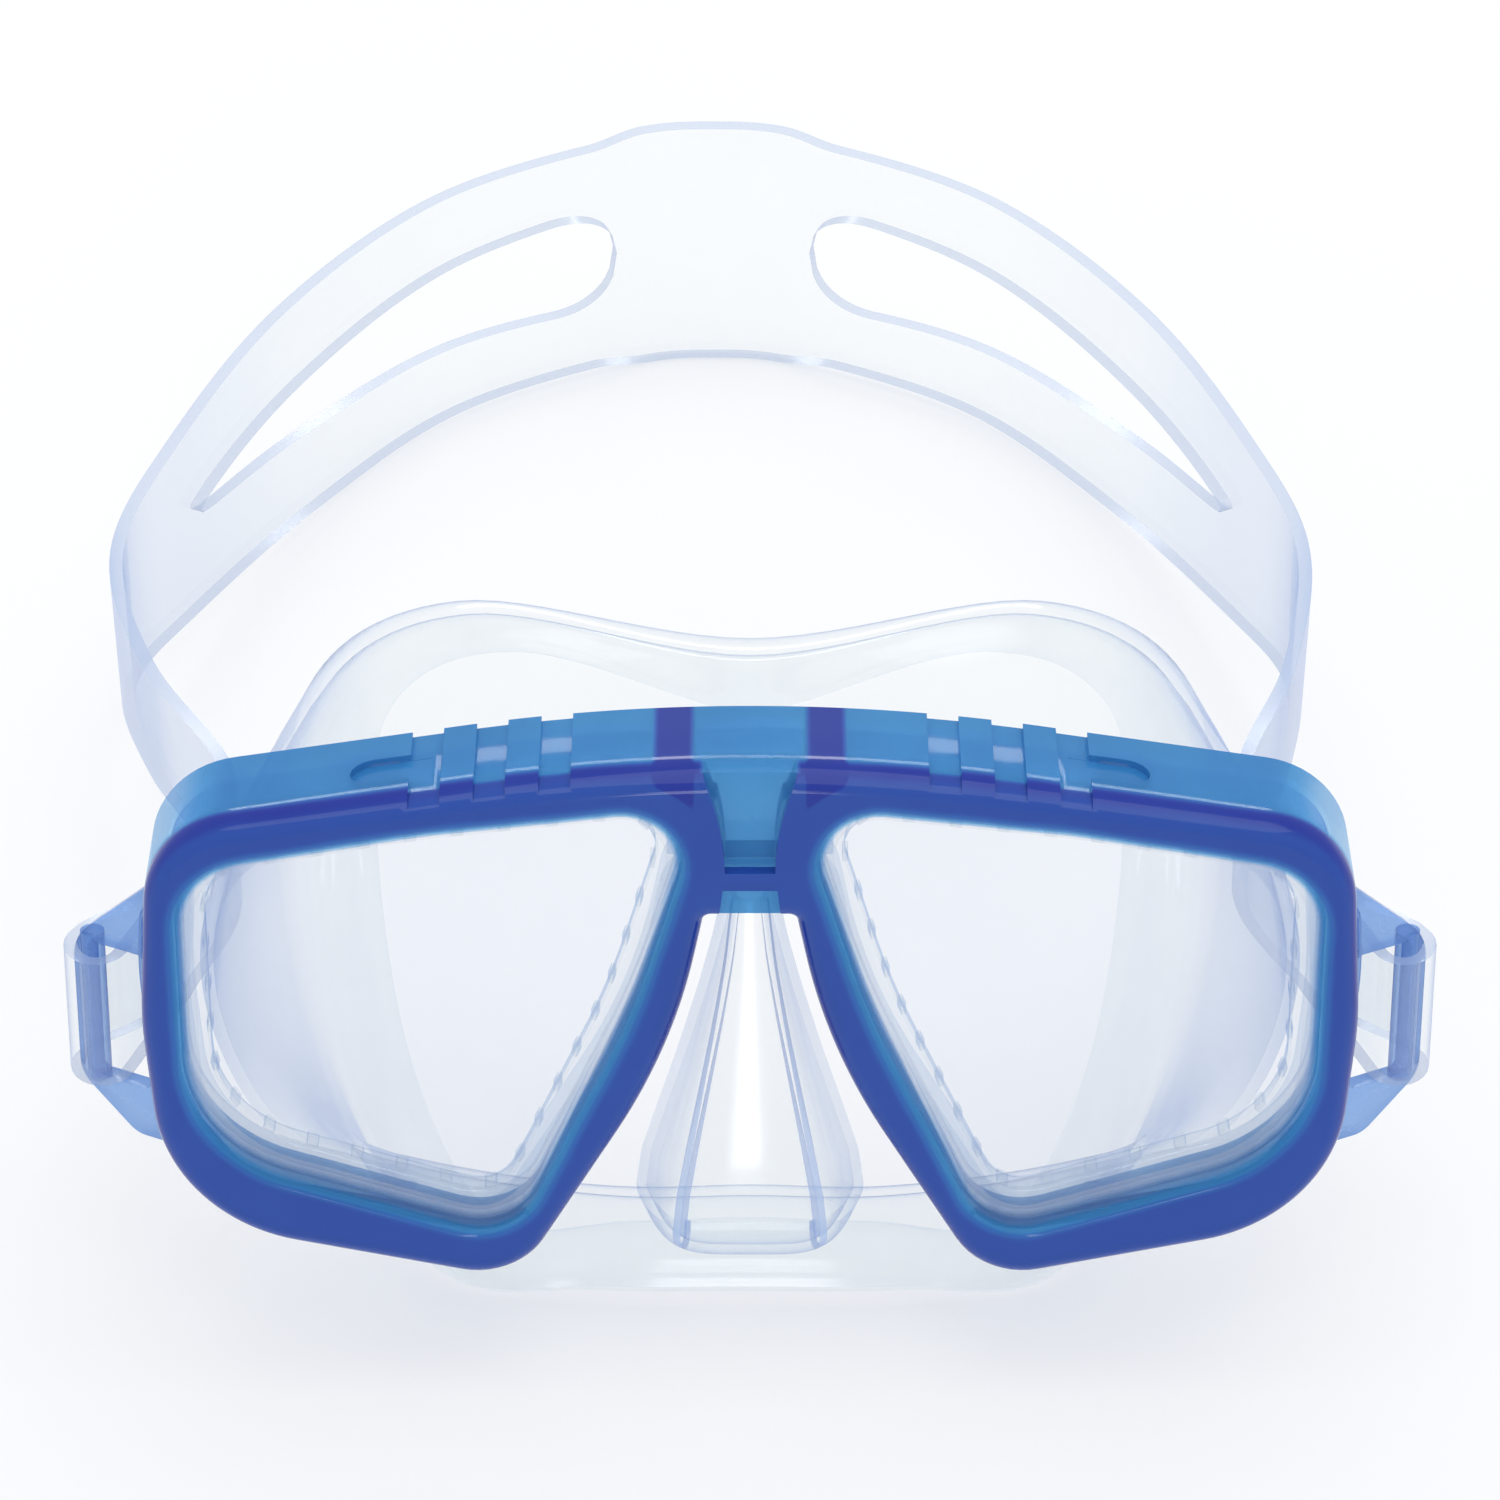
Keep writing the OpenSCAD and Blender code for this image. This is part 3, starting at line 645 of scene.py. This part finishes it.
# The same polycarbonate with less dye. It darkens to mid blue only where a wall is seen edge on.
pale_plastic, tree = new_material("pale_blue_polycarbonate_moulded")
normal, peel = mould_skin(tree, 110.0, 0.05)
facing = add_node(tree, "ShaderNodeLayerWeight", {"Blend": 0.35}).outputs["Facing"]
place = add_node(tree, "ShaderNodeSeparateXYZ", {
    0: add_node(tree, "ShaderNodeTexCoord").outputs["Object"]})
across = add_node(tree, MATH, {0: place.outputs["X"]}, operation="ABSOLUTE").outputs[0]
lug = add_node(tree, MAP, limits(across, 0.076, 0.083, 0.12, 1.0), **SMOOTH).outputs[0]
shade = add_node(tree, MATH, {0: facing, 1: 0.12}, operation="ADD").outputs[0]
shade = add_node(tree, MATH, {0: lug, 1: shade}, operation="MULTIPLY").outputs[0]
colour = stops_on(add_node(tree, RAMP, {"Fac": shade}), [
    (0.0, "#dbe7f5"), (0.15, "#a5c6ec"), (0.5, "#86aee2"), (0.85, "#4c74c6"), (1.0, "#3355b4"),
])
body = add_node(tree, "ShaderNodeBsdfPrincipled", {
    "Base Color": colour, "Roughness": 0.08, "IOR": 1.58, "Normal": normal,
})
tint = stops_on(add_node(tree, RAMP, {"Fac": shade}), [
    (0.0, "#f2f7fd"), (0.3, "#cfe2fa"), (1.0, "#9dbdf0"),
])
wander = add_node(tree, MAP, limits(peel, 0.3, 0.7, -0.03, 0.03), **SMOOTH).outputs[0]
solid = add_node(tree, MATH, {0: shade, 1: wander}, operation="ADD").outputs[0]
solid = add_node(tree, MAP, limits(solid, 0.0, 1.0, 0.10, 0.95), **SMOOTH).outputs[0]
see_through(tree, body.outputs[0], tint, solid)
rear.data.materials.append(pale_plastic)
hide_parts("rear_frame")
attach(rear, "mask")


# ---- lenses ----
# Two flat panes of clear polycarbonate, cut to the teardrop outline and laid in the front frame's
# seats. They show mostly as a soft reflection and a faint cool grey.

lens_clear, tree = new_material("lens_polycarbonate_polished")
normal, haze = mould_skin(tree, 40.0, 0.01)
body = add_node(tree, "ShaderNodeBsdfPrincipled", {
    "Base Color": linear("#e6edf6"), "Roughness": 0.04, "IOR": 1.58, "Normal": normal,
})
solid = add_node(tree, MAP, limits(haze, 0.3, 0.7, 0.03, 0.06), **SMOOTH).outputs[0]
gloss = add_node(tree, "ShaderNodeBsdfAnisotropic", {"Color": linear("#ffffff"), "Roughness": 0.05})
clear = add_node(tree, "ShaderNodeBsdfTransparent", {"Color": linear("#fafbfd")})
mixed = add_node(tree, "ShaderNodeMixShader", {0: solid, 1: clear.outputs[0], 2: body.outputs[0]})
facing = add_node(tree, "ShaderNodeLayerWeight", {"Blend": 0.5}).outputs["Facing"]
shine = add_node(tree, MAP, limits(facing, 0.2, 1.0, 0.02, 0.5), **SMOOTH).outputs[0]
glossy = add_node(tree, "ShaderNodeMixShader", {0: shine, 1: mixed.outputs[0], 2: gloss.outputs[0]})
add_node(tree, "ShaderNodeOutputMaterial", {"Surface": glossy.outputs[0]})
for side in ("left", "right"):
    pane = frame["nodes"][f"lens_{side}"]
    pane.data.materials.clear()
    pane.data.materials.append(lens_clear)


# ---- lens rings ----
# A clear ring behind each lens presses it into its seat. Small notches run all round its inner
# edge, where the ring was sprung into the frame.

LENS_BACK = 5.6
RING_DEEP = 3.2
RING_SHOW = 1.4
NOTCH_PITCH = 6.5


def clear_shader(name, pale, edge, haze, edge_haze, roughness, ior, shine_edge=0.35):
    """A clear plastic that is nearly invisible face on and gathers a pale blue where it turns away."""
    material, tree = new_material(name)
    normal, peel = mould_skin(tree, 60.0, 0.08)
    facing = add_node(tree, "ShaderNodeLayerWeight", {"Blend": 0.5}).outputs["Facing"]
    turned = add_node(tree, MATH, {0: facing, 1: 3.0}, operation="POWER").outputs[0]
    colour = stops_on(add_node(tree, RAMP, {"Fac": turned}), [(0.0, pale), (1.0, edge)])
    body = add_node(tree, "ShaderNodeBsdfPrincipled", {
        "Base Color": colour,
        "Roughness": roughness, "IOR": ior, "Normal": normal,
    })
    wander = add_node(tree, MAP, limits(peel, 0.25, 0.75, -0.015, 0.015), **SMOOTH).outputs[0]
    solid = add_node(tree, MAP, limits(turned, 0.0, 1.0, haze, edge_haze), **SMOOTH).outputs[0]
    solid = add_node(tree, MATH, {0: wander, 1: solid}, operation="ADD", use_clamp=True).outputs[0]
    tint = stops_on(add_node(tree, RAMP, {"Fac": turned}), [(0.0, "#fdfefe"), (1.0, edge)])
    clear = add_node(tree, "ShaderNodeBsdfTransparent", {"Color": tint})
    mixed = add_node(tree, "ShaderNodeMixShader", {0: solid, 1: clear.outputs[0], 2: body.outputs[0]})
    gloss = add_node(tree, "ShaderNodeBsdfAnisotropic", {
        "Color": linear("#ffffff"), "Roughness": roughness, "Normal": normal})
    shine = add_node(tree, MAP, limits(turned, 0.0, 1.0, 0.03, shine_edge), **SMOOTH).outputs[0]
    glossy = add_node(tree, "ShaderNodeMixShader", {0: shine, 1: mixed.outputs[0], 2: gloss.outputs[0]})
    add_node(tree, "ShaderNodeOutputMaterial", {"Surface": glossy.outputs[0]})
    return material


ring_clear = clear_shader("lens_ring_polycarbonate_clear", "#eef4fb", "#a3c2ea", 0.06, 0.28, 0.08, 1.45, 0.2)


def notch_tree():
    """Nodes that set a small tooth at every pitch along a closed line."""
    tree = bpy.data.node_groups.new("ring_notches", "GeometryNodeTree")
    tree.interface.new_socket("Geometry", in_out="INPUT", socket_type="NodeSocketGeometry")
    tree.interface.new_socket("Pitch", in_out="INPUT", socket_type="NodeSocketFloat")
    tree.interface.new_socket("Tooth Size", in_out="INPUT", socket_type="NodeSocketVector")
    tree.interface.new_socket("Material", in_out="INPUT", socket_type="NodeSocketMaterial")
    tree.interface.new_socket("Geometry", in_out="OUTPUT", socket_type="NodeSocketGeometry")
    given = add_node(tree, "NodeGroupInput")
    curve = add_node(tree, "GeometryNodeMeshToCurve", {"Mesh": given.outputs["Geometry"]})
    steps = add_node(tree, "GeometryNodeResampleCurve", {
        "Curve": curve.outputs[0], "Length": given.outputs["Pitch"]}, mode="LENGTH")
    along = add_node(tree, "GeometryNodeInputTangent")
    tooth = add_node(tree, "GeometryNodeMeshCube", {"Size": given.outputs["Tooth Size"]})
    turn = add_node(tree, "FunctionNodeAlignEulerToVector", {"Vector": along.outputs[0]}, axis="X")
    level = add_node(tree, "FunctionNodeAlignEulerToVector", {
        "Rotation": turn.outputs[0], "Vector": (0, math.cos(LEAN), -math.sin(LEAN))},
        axis="Y", pivot_axis="X")
    teeth = add_node(tree, "GeometryNodeInstanceOnPoints", {
        "Points": steps.outputs[0], "Instance": tooth.outputs[0], "Rotation": level.outputs[0]})
    real = add_node(tree, "GeometryNodeRealizeInstances", {"Geometry": teeth.outputs[0]})
    finish = add_node(tree, "GeometryNodeSetMaterial", {
        "Geometry": real.outputs[0], "Material": given.outputs["Material"]})
    add_node(tree, "NodeGroupOutput", {"Geometry": finish.outputs[0]})
    return tree


notches = notch_tree()
for side, eye in (("left", left_eye), ("right", right_eye)):
    profile = [
        (2.2, LENS_BACK + 0.1), (2.2, LENS_BACK + RING_DEEP),
        (-RING_SHOW + 0.5, LENS_BACK + RING_DEEP), (-RING_SHOW, LENS_BACK + RING_DEEP - 0.5),
        (-RING_SHOW, LENS_BACK + 0.5), (-RING_SHOW + 0.4, LENS_BACK + 0.1),
    ]
    rings = [loop_at(eye, grow, depth) for grow, depth in profile]
    band = new_piece("ring_band", lean_back(np.concatenate(rings)), bridge_loops(rings + rings[:1]))
    band.data.materials.append(ring_clear)
    path = bpy.data.meshes.new("notch_path")
    line = lean_back(loop_at(eye, -RING_SHOW + 0.1, LENS_BACK + RING_DEEP / 2)) / 1000
    path.from_pydata(line.tolist(), [(k, (k + 1) % len(line)) for k in range(len(line))], [])
    teeth = bpy.data.objects.new("ring_teeth", path)
    bpy.context.scene.collection.objects.link(teeth)
    nodes = teeth.modifiers.new("notches", "NODES")
    nodes.node_group = notches
    sockets = {s.name: s.identifier for s in notches.interface.items_tree if s.in_out == "INPUT"}
    nodes[sockets["Pitch"]] = NOTCH_PITCH / 1000
    nodes[sockets["Tooth Size"]] = (0.0016, 0.0028, 0.0007)
    nodes[sockets["Material"]] = ring_clear
    apply_modifiers(teeth)
    whole = join(f"lens_ring_{side}_toothed", [band, teeth])
    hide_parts(f"lens_ring_{side}")
    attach(whole, "mask")


# ---- skirt ----
# One soft moulding in clear PVC: a thin wall from the frames back to a wide lip that seals against
# the face, with a pocket for the nose pushed forward between the rims.

SKIRT = 1.8
LIP_WIDTH = 12
REST = 20
skirt_clear = clear_shader("skirt_pvc_clear_soft", "#f4f7fb", "#b2c6ea", 0.045, 0.46, 0.1, 1.4)


def floor_z(y):
    """Height in the upright frame of the surface that the mask rests on, at depth y."""
    return (y * math.sin(LEAN) - REST + 0.75) / math.cos(LEAN)


front_half = [
    (0, REAR_BACK, 5.5), (20, REAR_BACK, 5.5), (44, REAR_BACK, 9.5), (HALF_WIDTH - 17, REAR_BACK, 16),
    (HALF_WIDTH - 7.4, REAR_BACK, HEIGHT / 2), (HALF_WIDTH - 14, REAR_BACK, brow_z(69) - 12),
    (HALF_WIDTH * 0.45, REAR_BACK, brow_z(HALF_WIDTH * 0.45) - 7.4), (0, REAR_BACK, HEIGHT - 7),
]
seal_half = [
    (0, 17.5, floor_z(17.5)), (22, 17.7, floor_z(17.7)), (44, 20.5, floor_z(20.5)),
    (HALF_WIDTH - 24, 42, 0), (HALF_WIDTH - 17, 58, 30), (HALF_WIDTH - 20, 58, HEIGHT - 19),
    (HALF_WIDTH * 0.5, 50, HEIGHT - 1), (0, 44, HEIGHT - 3.5),
]


def smooth_ring(half, steps):
    """A closed smooth line through the points of one half and their mirror images."""
    pts = np.array(half + [(-x, y, z) for x, y, z in half[-2:0:-1]], float)
    k = len(pts)
    line = []
    for i in range(k):
        a, b, c, d = (pts[(i + j) % k] for j in (-1, 0, 1, 2))
        for t in np.arange(steps) / steps:
            line.append(0.5 * (2 * b + (c - a) * t + (2 * a - 5 * b + 4 * c - d) * t * t
                + (3 * b - a - 3 * c + d) * t ** 3))
    return np.array(line)


front_ring = smooth_ring(front_half, 12)
seal_ring = smooth_ring(seal_half, 12)


def skirt_row(s, inset=0.0, shift=0.0):
    """The skirt's outside a share s of the way back, moved in by inset and back by shift."""
    share = np.array([s * s, s, s * s])
    p = front_ring + (seal_ring - front_ring) * share
    out = (p - [0, 0, HEIGHT / 2]) * [1, 0, 1]
    out /= np.linalg.norm(out, axis=1)[:, None]
    return p - out * inset + [0, shift, 0]


rows = [skirt_row(s) for s in np.linspace(0, 1, 11)]
rows += [skirt_row(1, a, b) for a, b in (
    (0.5, 0.9), (1.6, 1.7), (3, 2.1), (5.5, 2.2), (8.5, 1.8), (LIP_WIDTH, 1))]
rows += [skirt_row(1, a, b) for a, b in ((LIP_WIDTH + 0.25, 0.7), (LIP_WIDTH, 0.35))]
rows += [skirt_row(1, a, b) for a, b in (
    (8.5, 0.75), (5.5, 0.9), (3.6, 0.5), (2.5, -0.4), (SKIRT + 0.1, -1.6))]
rows += [skirt_row(s, SKIRT) for s in np.linspace(0.9, 0, 10)]
wall = new_piece("skirt_wall", lean_back(np.concatenate(rows)), bridge_loops(rows + rows[:1]), 70)

# the nose pocket: narrow and plain at the bridge, square and wide at the nostrils, and thicker
# along the two folds that let it be pinched
FOLD_COLUMNS = (8.5, 9.5)
POCKET_TOP = NOTCH_TOP - 1
POCKET_BACK = 12
POCKET_STEPS = 37
levels = np.array([
    # height, half width of the front, flare of the sides, front
    (POCKET_TOP, 2.6, 1.0, 7.0), (48, 3.6, 1.6, 4.6), (40, 5.0, 2.2, 2.8), (30, 7.0, 3.0, 0.6),
    (21, 8.8, 4.0, -1.5), (13, 10.2, 5.0, -2.7), (7, 10.8, 5.2, -2.8),
])


def pocket_row(height, inset):
    """One level of the pocket, from its left rear edge round the front to its right rear edge."""
    half, flare, front = (np.interp(height, levels[::-1, 0], levels[::-1, k]) for k in (1, 2, 3))
    under = max(0.0, (7 - height) / 6)
    half, flare = half * (1 - 0.12 * under ** 2), flare * (1 - 0.35 * under ** 2)
    front += (POCKET_BACK - 3 - front) * (1 - math.sqrt(1 - min(under, 1) ** 2))
    row = []
    for turn in np.linspace(-math.pi / 2, math.pi / 2, POCKET_STEPS):
        share = abs(math.cos(turn)) ** 0.42
        across = math.copysign(abs(math.sin(turn)) ** 0.42, turn)
        row.append((
            across * (half - inset + flare * (1 - share) ** 0.8),
            POCKET_BACK - (POCKET_BACK - front - inset) * share,
            height + inset * under,
        ))
    return row


heights = np.concatenate([np.linspace(POCKET_TOP, 8, 20), np.linspace(7, 2.4, 8), [1.6, 1.15, 1.0]])
outer_rows = [pocket_row(h, 0) for h in heights]
points = np.array([p for row in outer_rows for p in row])
corners = [[k, k + 1, k + 1 + POCKET_STEPS, k + POCKET_STEPS] for k in range(POCKET_STEPS - 1)]
faces = [[v + r * POCKET_STEPS for v in quad] for r in range(len(heights) - 1) for quad in corners]
pocket = new_piece("nose_pocket", lean_back(points), faces, 80)
for face in pocket.data.polygons:
    face.material_index = int(abs(face.index % (POCKET_STEPS - 1) - 17.5) in FOLD_COLUMNS)
thickness = pocket.modifiers.new("wall", "SOLIDIFY")
thickness.thickness = 1.4 / 1000
thickness.offset = -1
apply_modifiers(pocket)
soften(pocket, 80)

# the flange that the two frames clamp, open behind each lens
flange = slab("flange", frame_line + outward(frame_line) * -2.6, SEAT_BACK + 0.05, REAR_BACK - 0.05, 0.2,
    [right_eye + outward(right_eye) * 1.9, left_eye + outward(left_eye) * 1.9])
skirt_fold = clear_shader("skirt_pvc_fold", "#9dbced", "#5f8bd6", 0.6, 0.85, 0.12, 1.4)
for part in (wall, pocket, flange):
    part.data.materials.append(skirt_clear)
pocket.data.materials.append(skirt_fold)
skirt = join("skirt_moulding", [wall, pocket, flange])
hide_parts("skirt")
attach(skirt, "mask")


# ---- head strap ----
# One clear PVC moulding: each end loops round a lug bar, and behind the ears the strap splits into
# two bands that meet in a pad at the back of the head. It bends where it leaves the bars.

STRAP = 2.0
END_WIDTH = 20
PAD_HEIGHT, PAD_HALF = 46, 15
LOOP_LONG, LOOP_HALF, LOOP_DRIFT = 187, 89, -6
RUN_TURN = math.radians(25)
RUN_OFF = 3.7
SLOT_FAR, SLOT_NEAR = 23, 6
SPAN_STEPS = 6
BAND = 7


def run_point(aside, back):
    """A point beside the bar, seen from above: aside is outwards and back is along the strap's run."""
    x = BAR_ACROSS + aside * math.cos(RUN_TURN) - back * math.sin(RUN_TURN)
    y = BAR_BACK + aside * math.sin(RUN_TURN) + back * math.cos(RUN_TURN)
    return lean_back([(x, y, BAR_UP)])[0][:2]


half_line = [run_point(-RUN_OFF, 8), run_point(-RUN_OFF, 19)] + [
    np.array([x, bar_y + LOOP_LONG * share]) for x, share in (
        (HALF_WIDTH - 10, 0.19), (LOOP_HALF - 5, 0.34), (LOOP_HALF, 0.48), (LOOP_HALF - 7, 0.61),
        (LOOP_HALF - 22, 0.77), (LOOP_HALF - 45, 0.91), (PAD_HALF + 1, 0.985), (0, 1))]
spans = len(half_line) - 1
ends = SPAN_STEPS * spans
controls = [2 * half_line[0] - half_line[1]] + half_line + [half_line[-2] * [-1, 1]]


def line_point(step):
    """The half line at a step from the pad, 0, to the bar, ends."""
    share = spans - step / SPAN_STEPS
    i = min(int(share), spans - 1)
    t = share - i
    a, b, c, d = controls[i:i + 4]
    return 0.5 * (2 * b + (c - a) * t + (2 * a - 5 * b + 4 * c - d) * t * t
        + (3 * b - a - 3 * c + d) * t ** 3)


def ease(value, low, high):
    return float(smoothstep(value, low, high))


def slot_share(step):
    return (SLOT_FAR - step) / (SLOT_FAR - SLOT_NEAR)


def slot_edges(step):
    """Lower and upper edge of the slot at a step, as shares of the strap's half height."""
    share = slot_share(step)
    if not 0 < share < 1:
        return 0.03, 0.03
    round_end = math.sqrt(max(0, 1 - ((share - 0.86) / 0.14) ** 2)) if share > 0.86 else 1
    opening = share ** 0.6 * round_end
    return 0.02 - 0.5 * opening, 0.04 + 0.4 * opening


def section(point, normal, s, across, step):
    """The strap's cross-section at one place: its middle, up vector, half height and slot edges."""
    tip = LEAN * (1 - ease(s, 0.1, 0.45))
    middle_z = bar_z + (PAD_HEIGHT / 2 + 1.4 - bar_z) * ease(s, 0, 0.85)
    half = END_WIDTH / 2 + (PAD_HEIGHT - END_WIDTH) / 2 * ease(s, 0.25, 0.85)
    half += 1.4 * ease(PAD_HALF + 5 - abs(across), 0, 9)
    return point, middle_z, normal, np.array([0, math.sin(tip), math.cos(tip)]), half, slot_edges(step)


sections = []
steps = np.unique(np.concatenate([
    np.arange(0, ends + 0.01, 0.5),
    np.linspace(SLOT_NEAR, SLOT_NEAR + 0.16 * (SLOT_FAR - SLOT_NEAR), 17),
    SLOT_FAR - np.linspace(0, 1, 6) ** 2 * 2,
]))
for side in (-1, 1):
    run = []
    for step in steps:
        p, ahead = line_point(step), line_point(min(step + 0.05, ends)) - line_point(max(step - 0.05, 0))
        s = (p[1] - bar_y) / LOOP_LONG
        drift = LOOP_DRIFT * ease(s, 0, 0.5)
        normal = np.array([-ahead[1], ahead[0]]) / np.linalg.norm(ahead)
        run.append(section(np.array([side * p[0] + drift, p[1]]), normal * [side, 1], s, p[0], step))
    tail = [(-RUN_OFF, 4), (-RUN_OFF, 0)]
    tail += [(-3.7 * math.cos(a), -3.7 * math.sin(a)) for a in np.linspace(0.25, math.pi, 12)]
    tail += [(3.3, 2.2), (2.0, 4.8), (0.2, 7.6), (-1.3, 10.2), (-1.6, 12.6), (-1.6, 14.6)]
    turned = [run_point(*p) for p in tail]
    for k, p in enumerate(turned):
        ahead = turned[min(k + 1, len(turned) - 1)] - turned[max(k - 1, 0)]
        normal = np.array([-ahead[1], ahead[0]]) / np.linalg.norm(ahead)
        s = 0 if k < len(turned) - 2 else -0.001
        run.append(section(p * [side, 1], normal * [side, 1], s, p[0], ends + k))
    sections += run[::-1] if side < 0 else run[1:]


def band(share_from, share_to):
    """A grid of points on the strap's middle surface between two shares of its half height."""
    rows = []
    for point, middle_z, normal, up, half, slot in sections:
        low, high = share_from(slot), share_to(slot)
        for share in np.linspace(low, high, BAND):
            rows.append(np.array([*point, middle_z]) + up * half * share)
    return rows


lower = band(lambda slot: -1, lambda slot: slot[0])
upper = band(lambda slot: slot[1], lambda slot: 1)
grid = [[r * BAND + j, r * BAND + j + 1, (r + 1) * BAND + j + 1, (r + 1) * BAND + j]
    for r in range(len(sections) - 1) for j in range(BAND - 1)]
faces = grid + [[v + len(lower) for v in face] for face in grid]
strap = new_piece("head_strap", np.array(lower + upper), faces, 60)

strap_clear = clear_shader("strap_pvc_clear", "#f7f9fd", "#c2d1ee", 0.04, 0.34, 0.1, 1.4)
strap_edge = clear_shader("strap_pvc_cut_edge", "#b9c9e6", "#8aa6d8", 0.5, 0.75, 0.15, 1.4)
strap.data.materials.append(strap_clear)
strap.data.materials.append(strap_edge)
thickness = strap.modifiers.new("thickness", "SOLIDIFY")
thickness.thickness = STRAP / 1000
thickness.offset = 0
thickness.material_offset_rim = 1
apply_modifiers(strap)
soften(strap, 60)
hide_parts("strap_rear", "strap_end_left", "strap_end_right")
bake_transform(strap)


# ---- floor, light and camera ----
# A white sweep under soft light from all round, with a low strip light behind the mask that draws
# the thin highlights along the brow and the lower rims.

floor_paint, tree = new_material("studio_paper_matt")
grain = add_node(tree, "ShaderNodeTexNoise", {
    "Vector": add_node(tree, "ShaderNodeTexCoord").outputs["Object"], "Scale": 3.0, "Detail": 2.0})
paper = stops_on(add_node(tree, RAMP, {"Fac": grain.outputs["Fac"]}), [(0.3, "#fafbfc"), (0.7, "#fcfcfd")])
paint = add_node(tree, "ShaderNodeBsdfPrincipled", {
    "Base Color": paper, "Roughness": 1.0, "Specular IOR Level": 0.0})
glow = add_node(tree, "ShaderNodeEmission", {"Color": paper, "Strength": 1.0})
lit = add_node(tree, "ShaderNodeMixShader", {0: 0.5, 1: paint.outputs[0], 2: glow.outputs[0]})
add_node(tree, "ShaderNodeOutputMaterial", {"Surface": lit.outputs[0]})
SWEEP = 6
FLOOR_Z = -0.0005
sweep = bpy.data.meshes.new("studio_floor")
corners = [(-SWEEP, -SWEEP), (SWEEP, -SWEEP), (SWEEP, SWEEP), (-SWEEP, SWEEP)]
sweep.from_pydata([(x, y, FLOOR_Z) for x, y in corners], [], [(0, 1, 2, 3)])
studio_floor = bpy.data.objects.new("studio_floor", sweep)
studio_floor.data.materials.append(floor_paint)
bpy.context.scene.collection.objects.link(studio_floor)

world = bpy.data.worlds.new("studio_light")
bpy.context.scene.world = world
world.use_nodes = True
world.node_tree.nodes["Background"].inputs["Color"].default_value = linear("#fcfdff")
world.node_tree.nodes["Background"].inputs["Strength"].default_value = 0.78
bpy.context.scene.view_settings.view_transform = "Standard"


def softbox(name, width, height, energy, place, target):
    light = bpy.data.lights.new(name, "AREA")
    light.shape = "RECTANGLE"
    light.size, light.size_y = width, height
    light.energy = energy
    lamp = bpy.data.objects.new(name, light)
    lamp.location = place
    lamp.rotation_euler = (Vector(target) - Vector(place)).to_track_quat("-Z", "Y").to_euler()
    bpy.context.scene.collection.objects.link(lamp)


middle = (cad_box[0] + cad_box[1]) / 2
softbox("overhead_softbox", 1.4, 1.4, 8, (0.15, 0.2, 1.6), middle)
softbox("low_back_strip", 0.9, 0.12, 2, (0, 1.15, 0.62), (0, -0.09, 0.08))
softbox("front_card", 0.16, 1.2, 3, (-0.02, -2.2, 0.3), (0, -0.09, 0.05))

camera = bpy.data.cameras.new("studio_camera")
camera.lens = 153
camera.sensor_width = 36
studio_camera = bpy.data.objects.new("studio_camera", camera)
AIM = Vector((0, -0.085, 0.1005))
RAISED = math.radians(45)
studio_camera.location = AIM + 0.85 * Vector((0, -math.cos(RAISED), math.sin(RAISED)))
studio_camera.rotation_euler = (math.pi / 2 - RAISED, 0, 0)
bpy.context.scene.collection.objects.link(studio_camera)
bpy.context.scene.camera = studio_camera
bpy.context.scene.cycles.transparent_max_bounces = 48
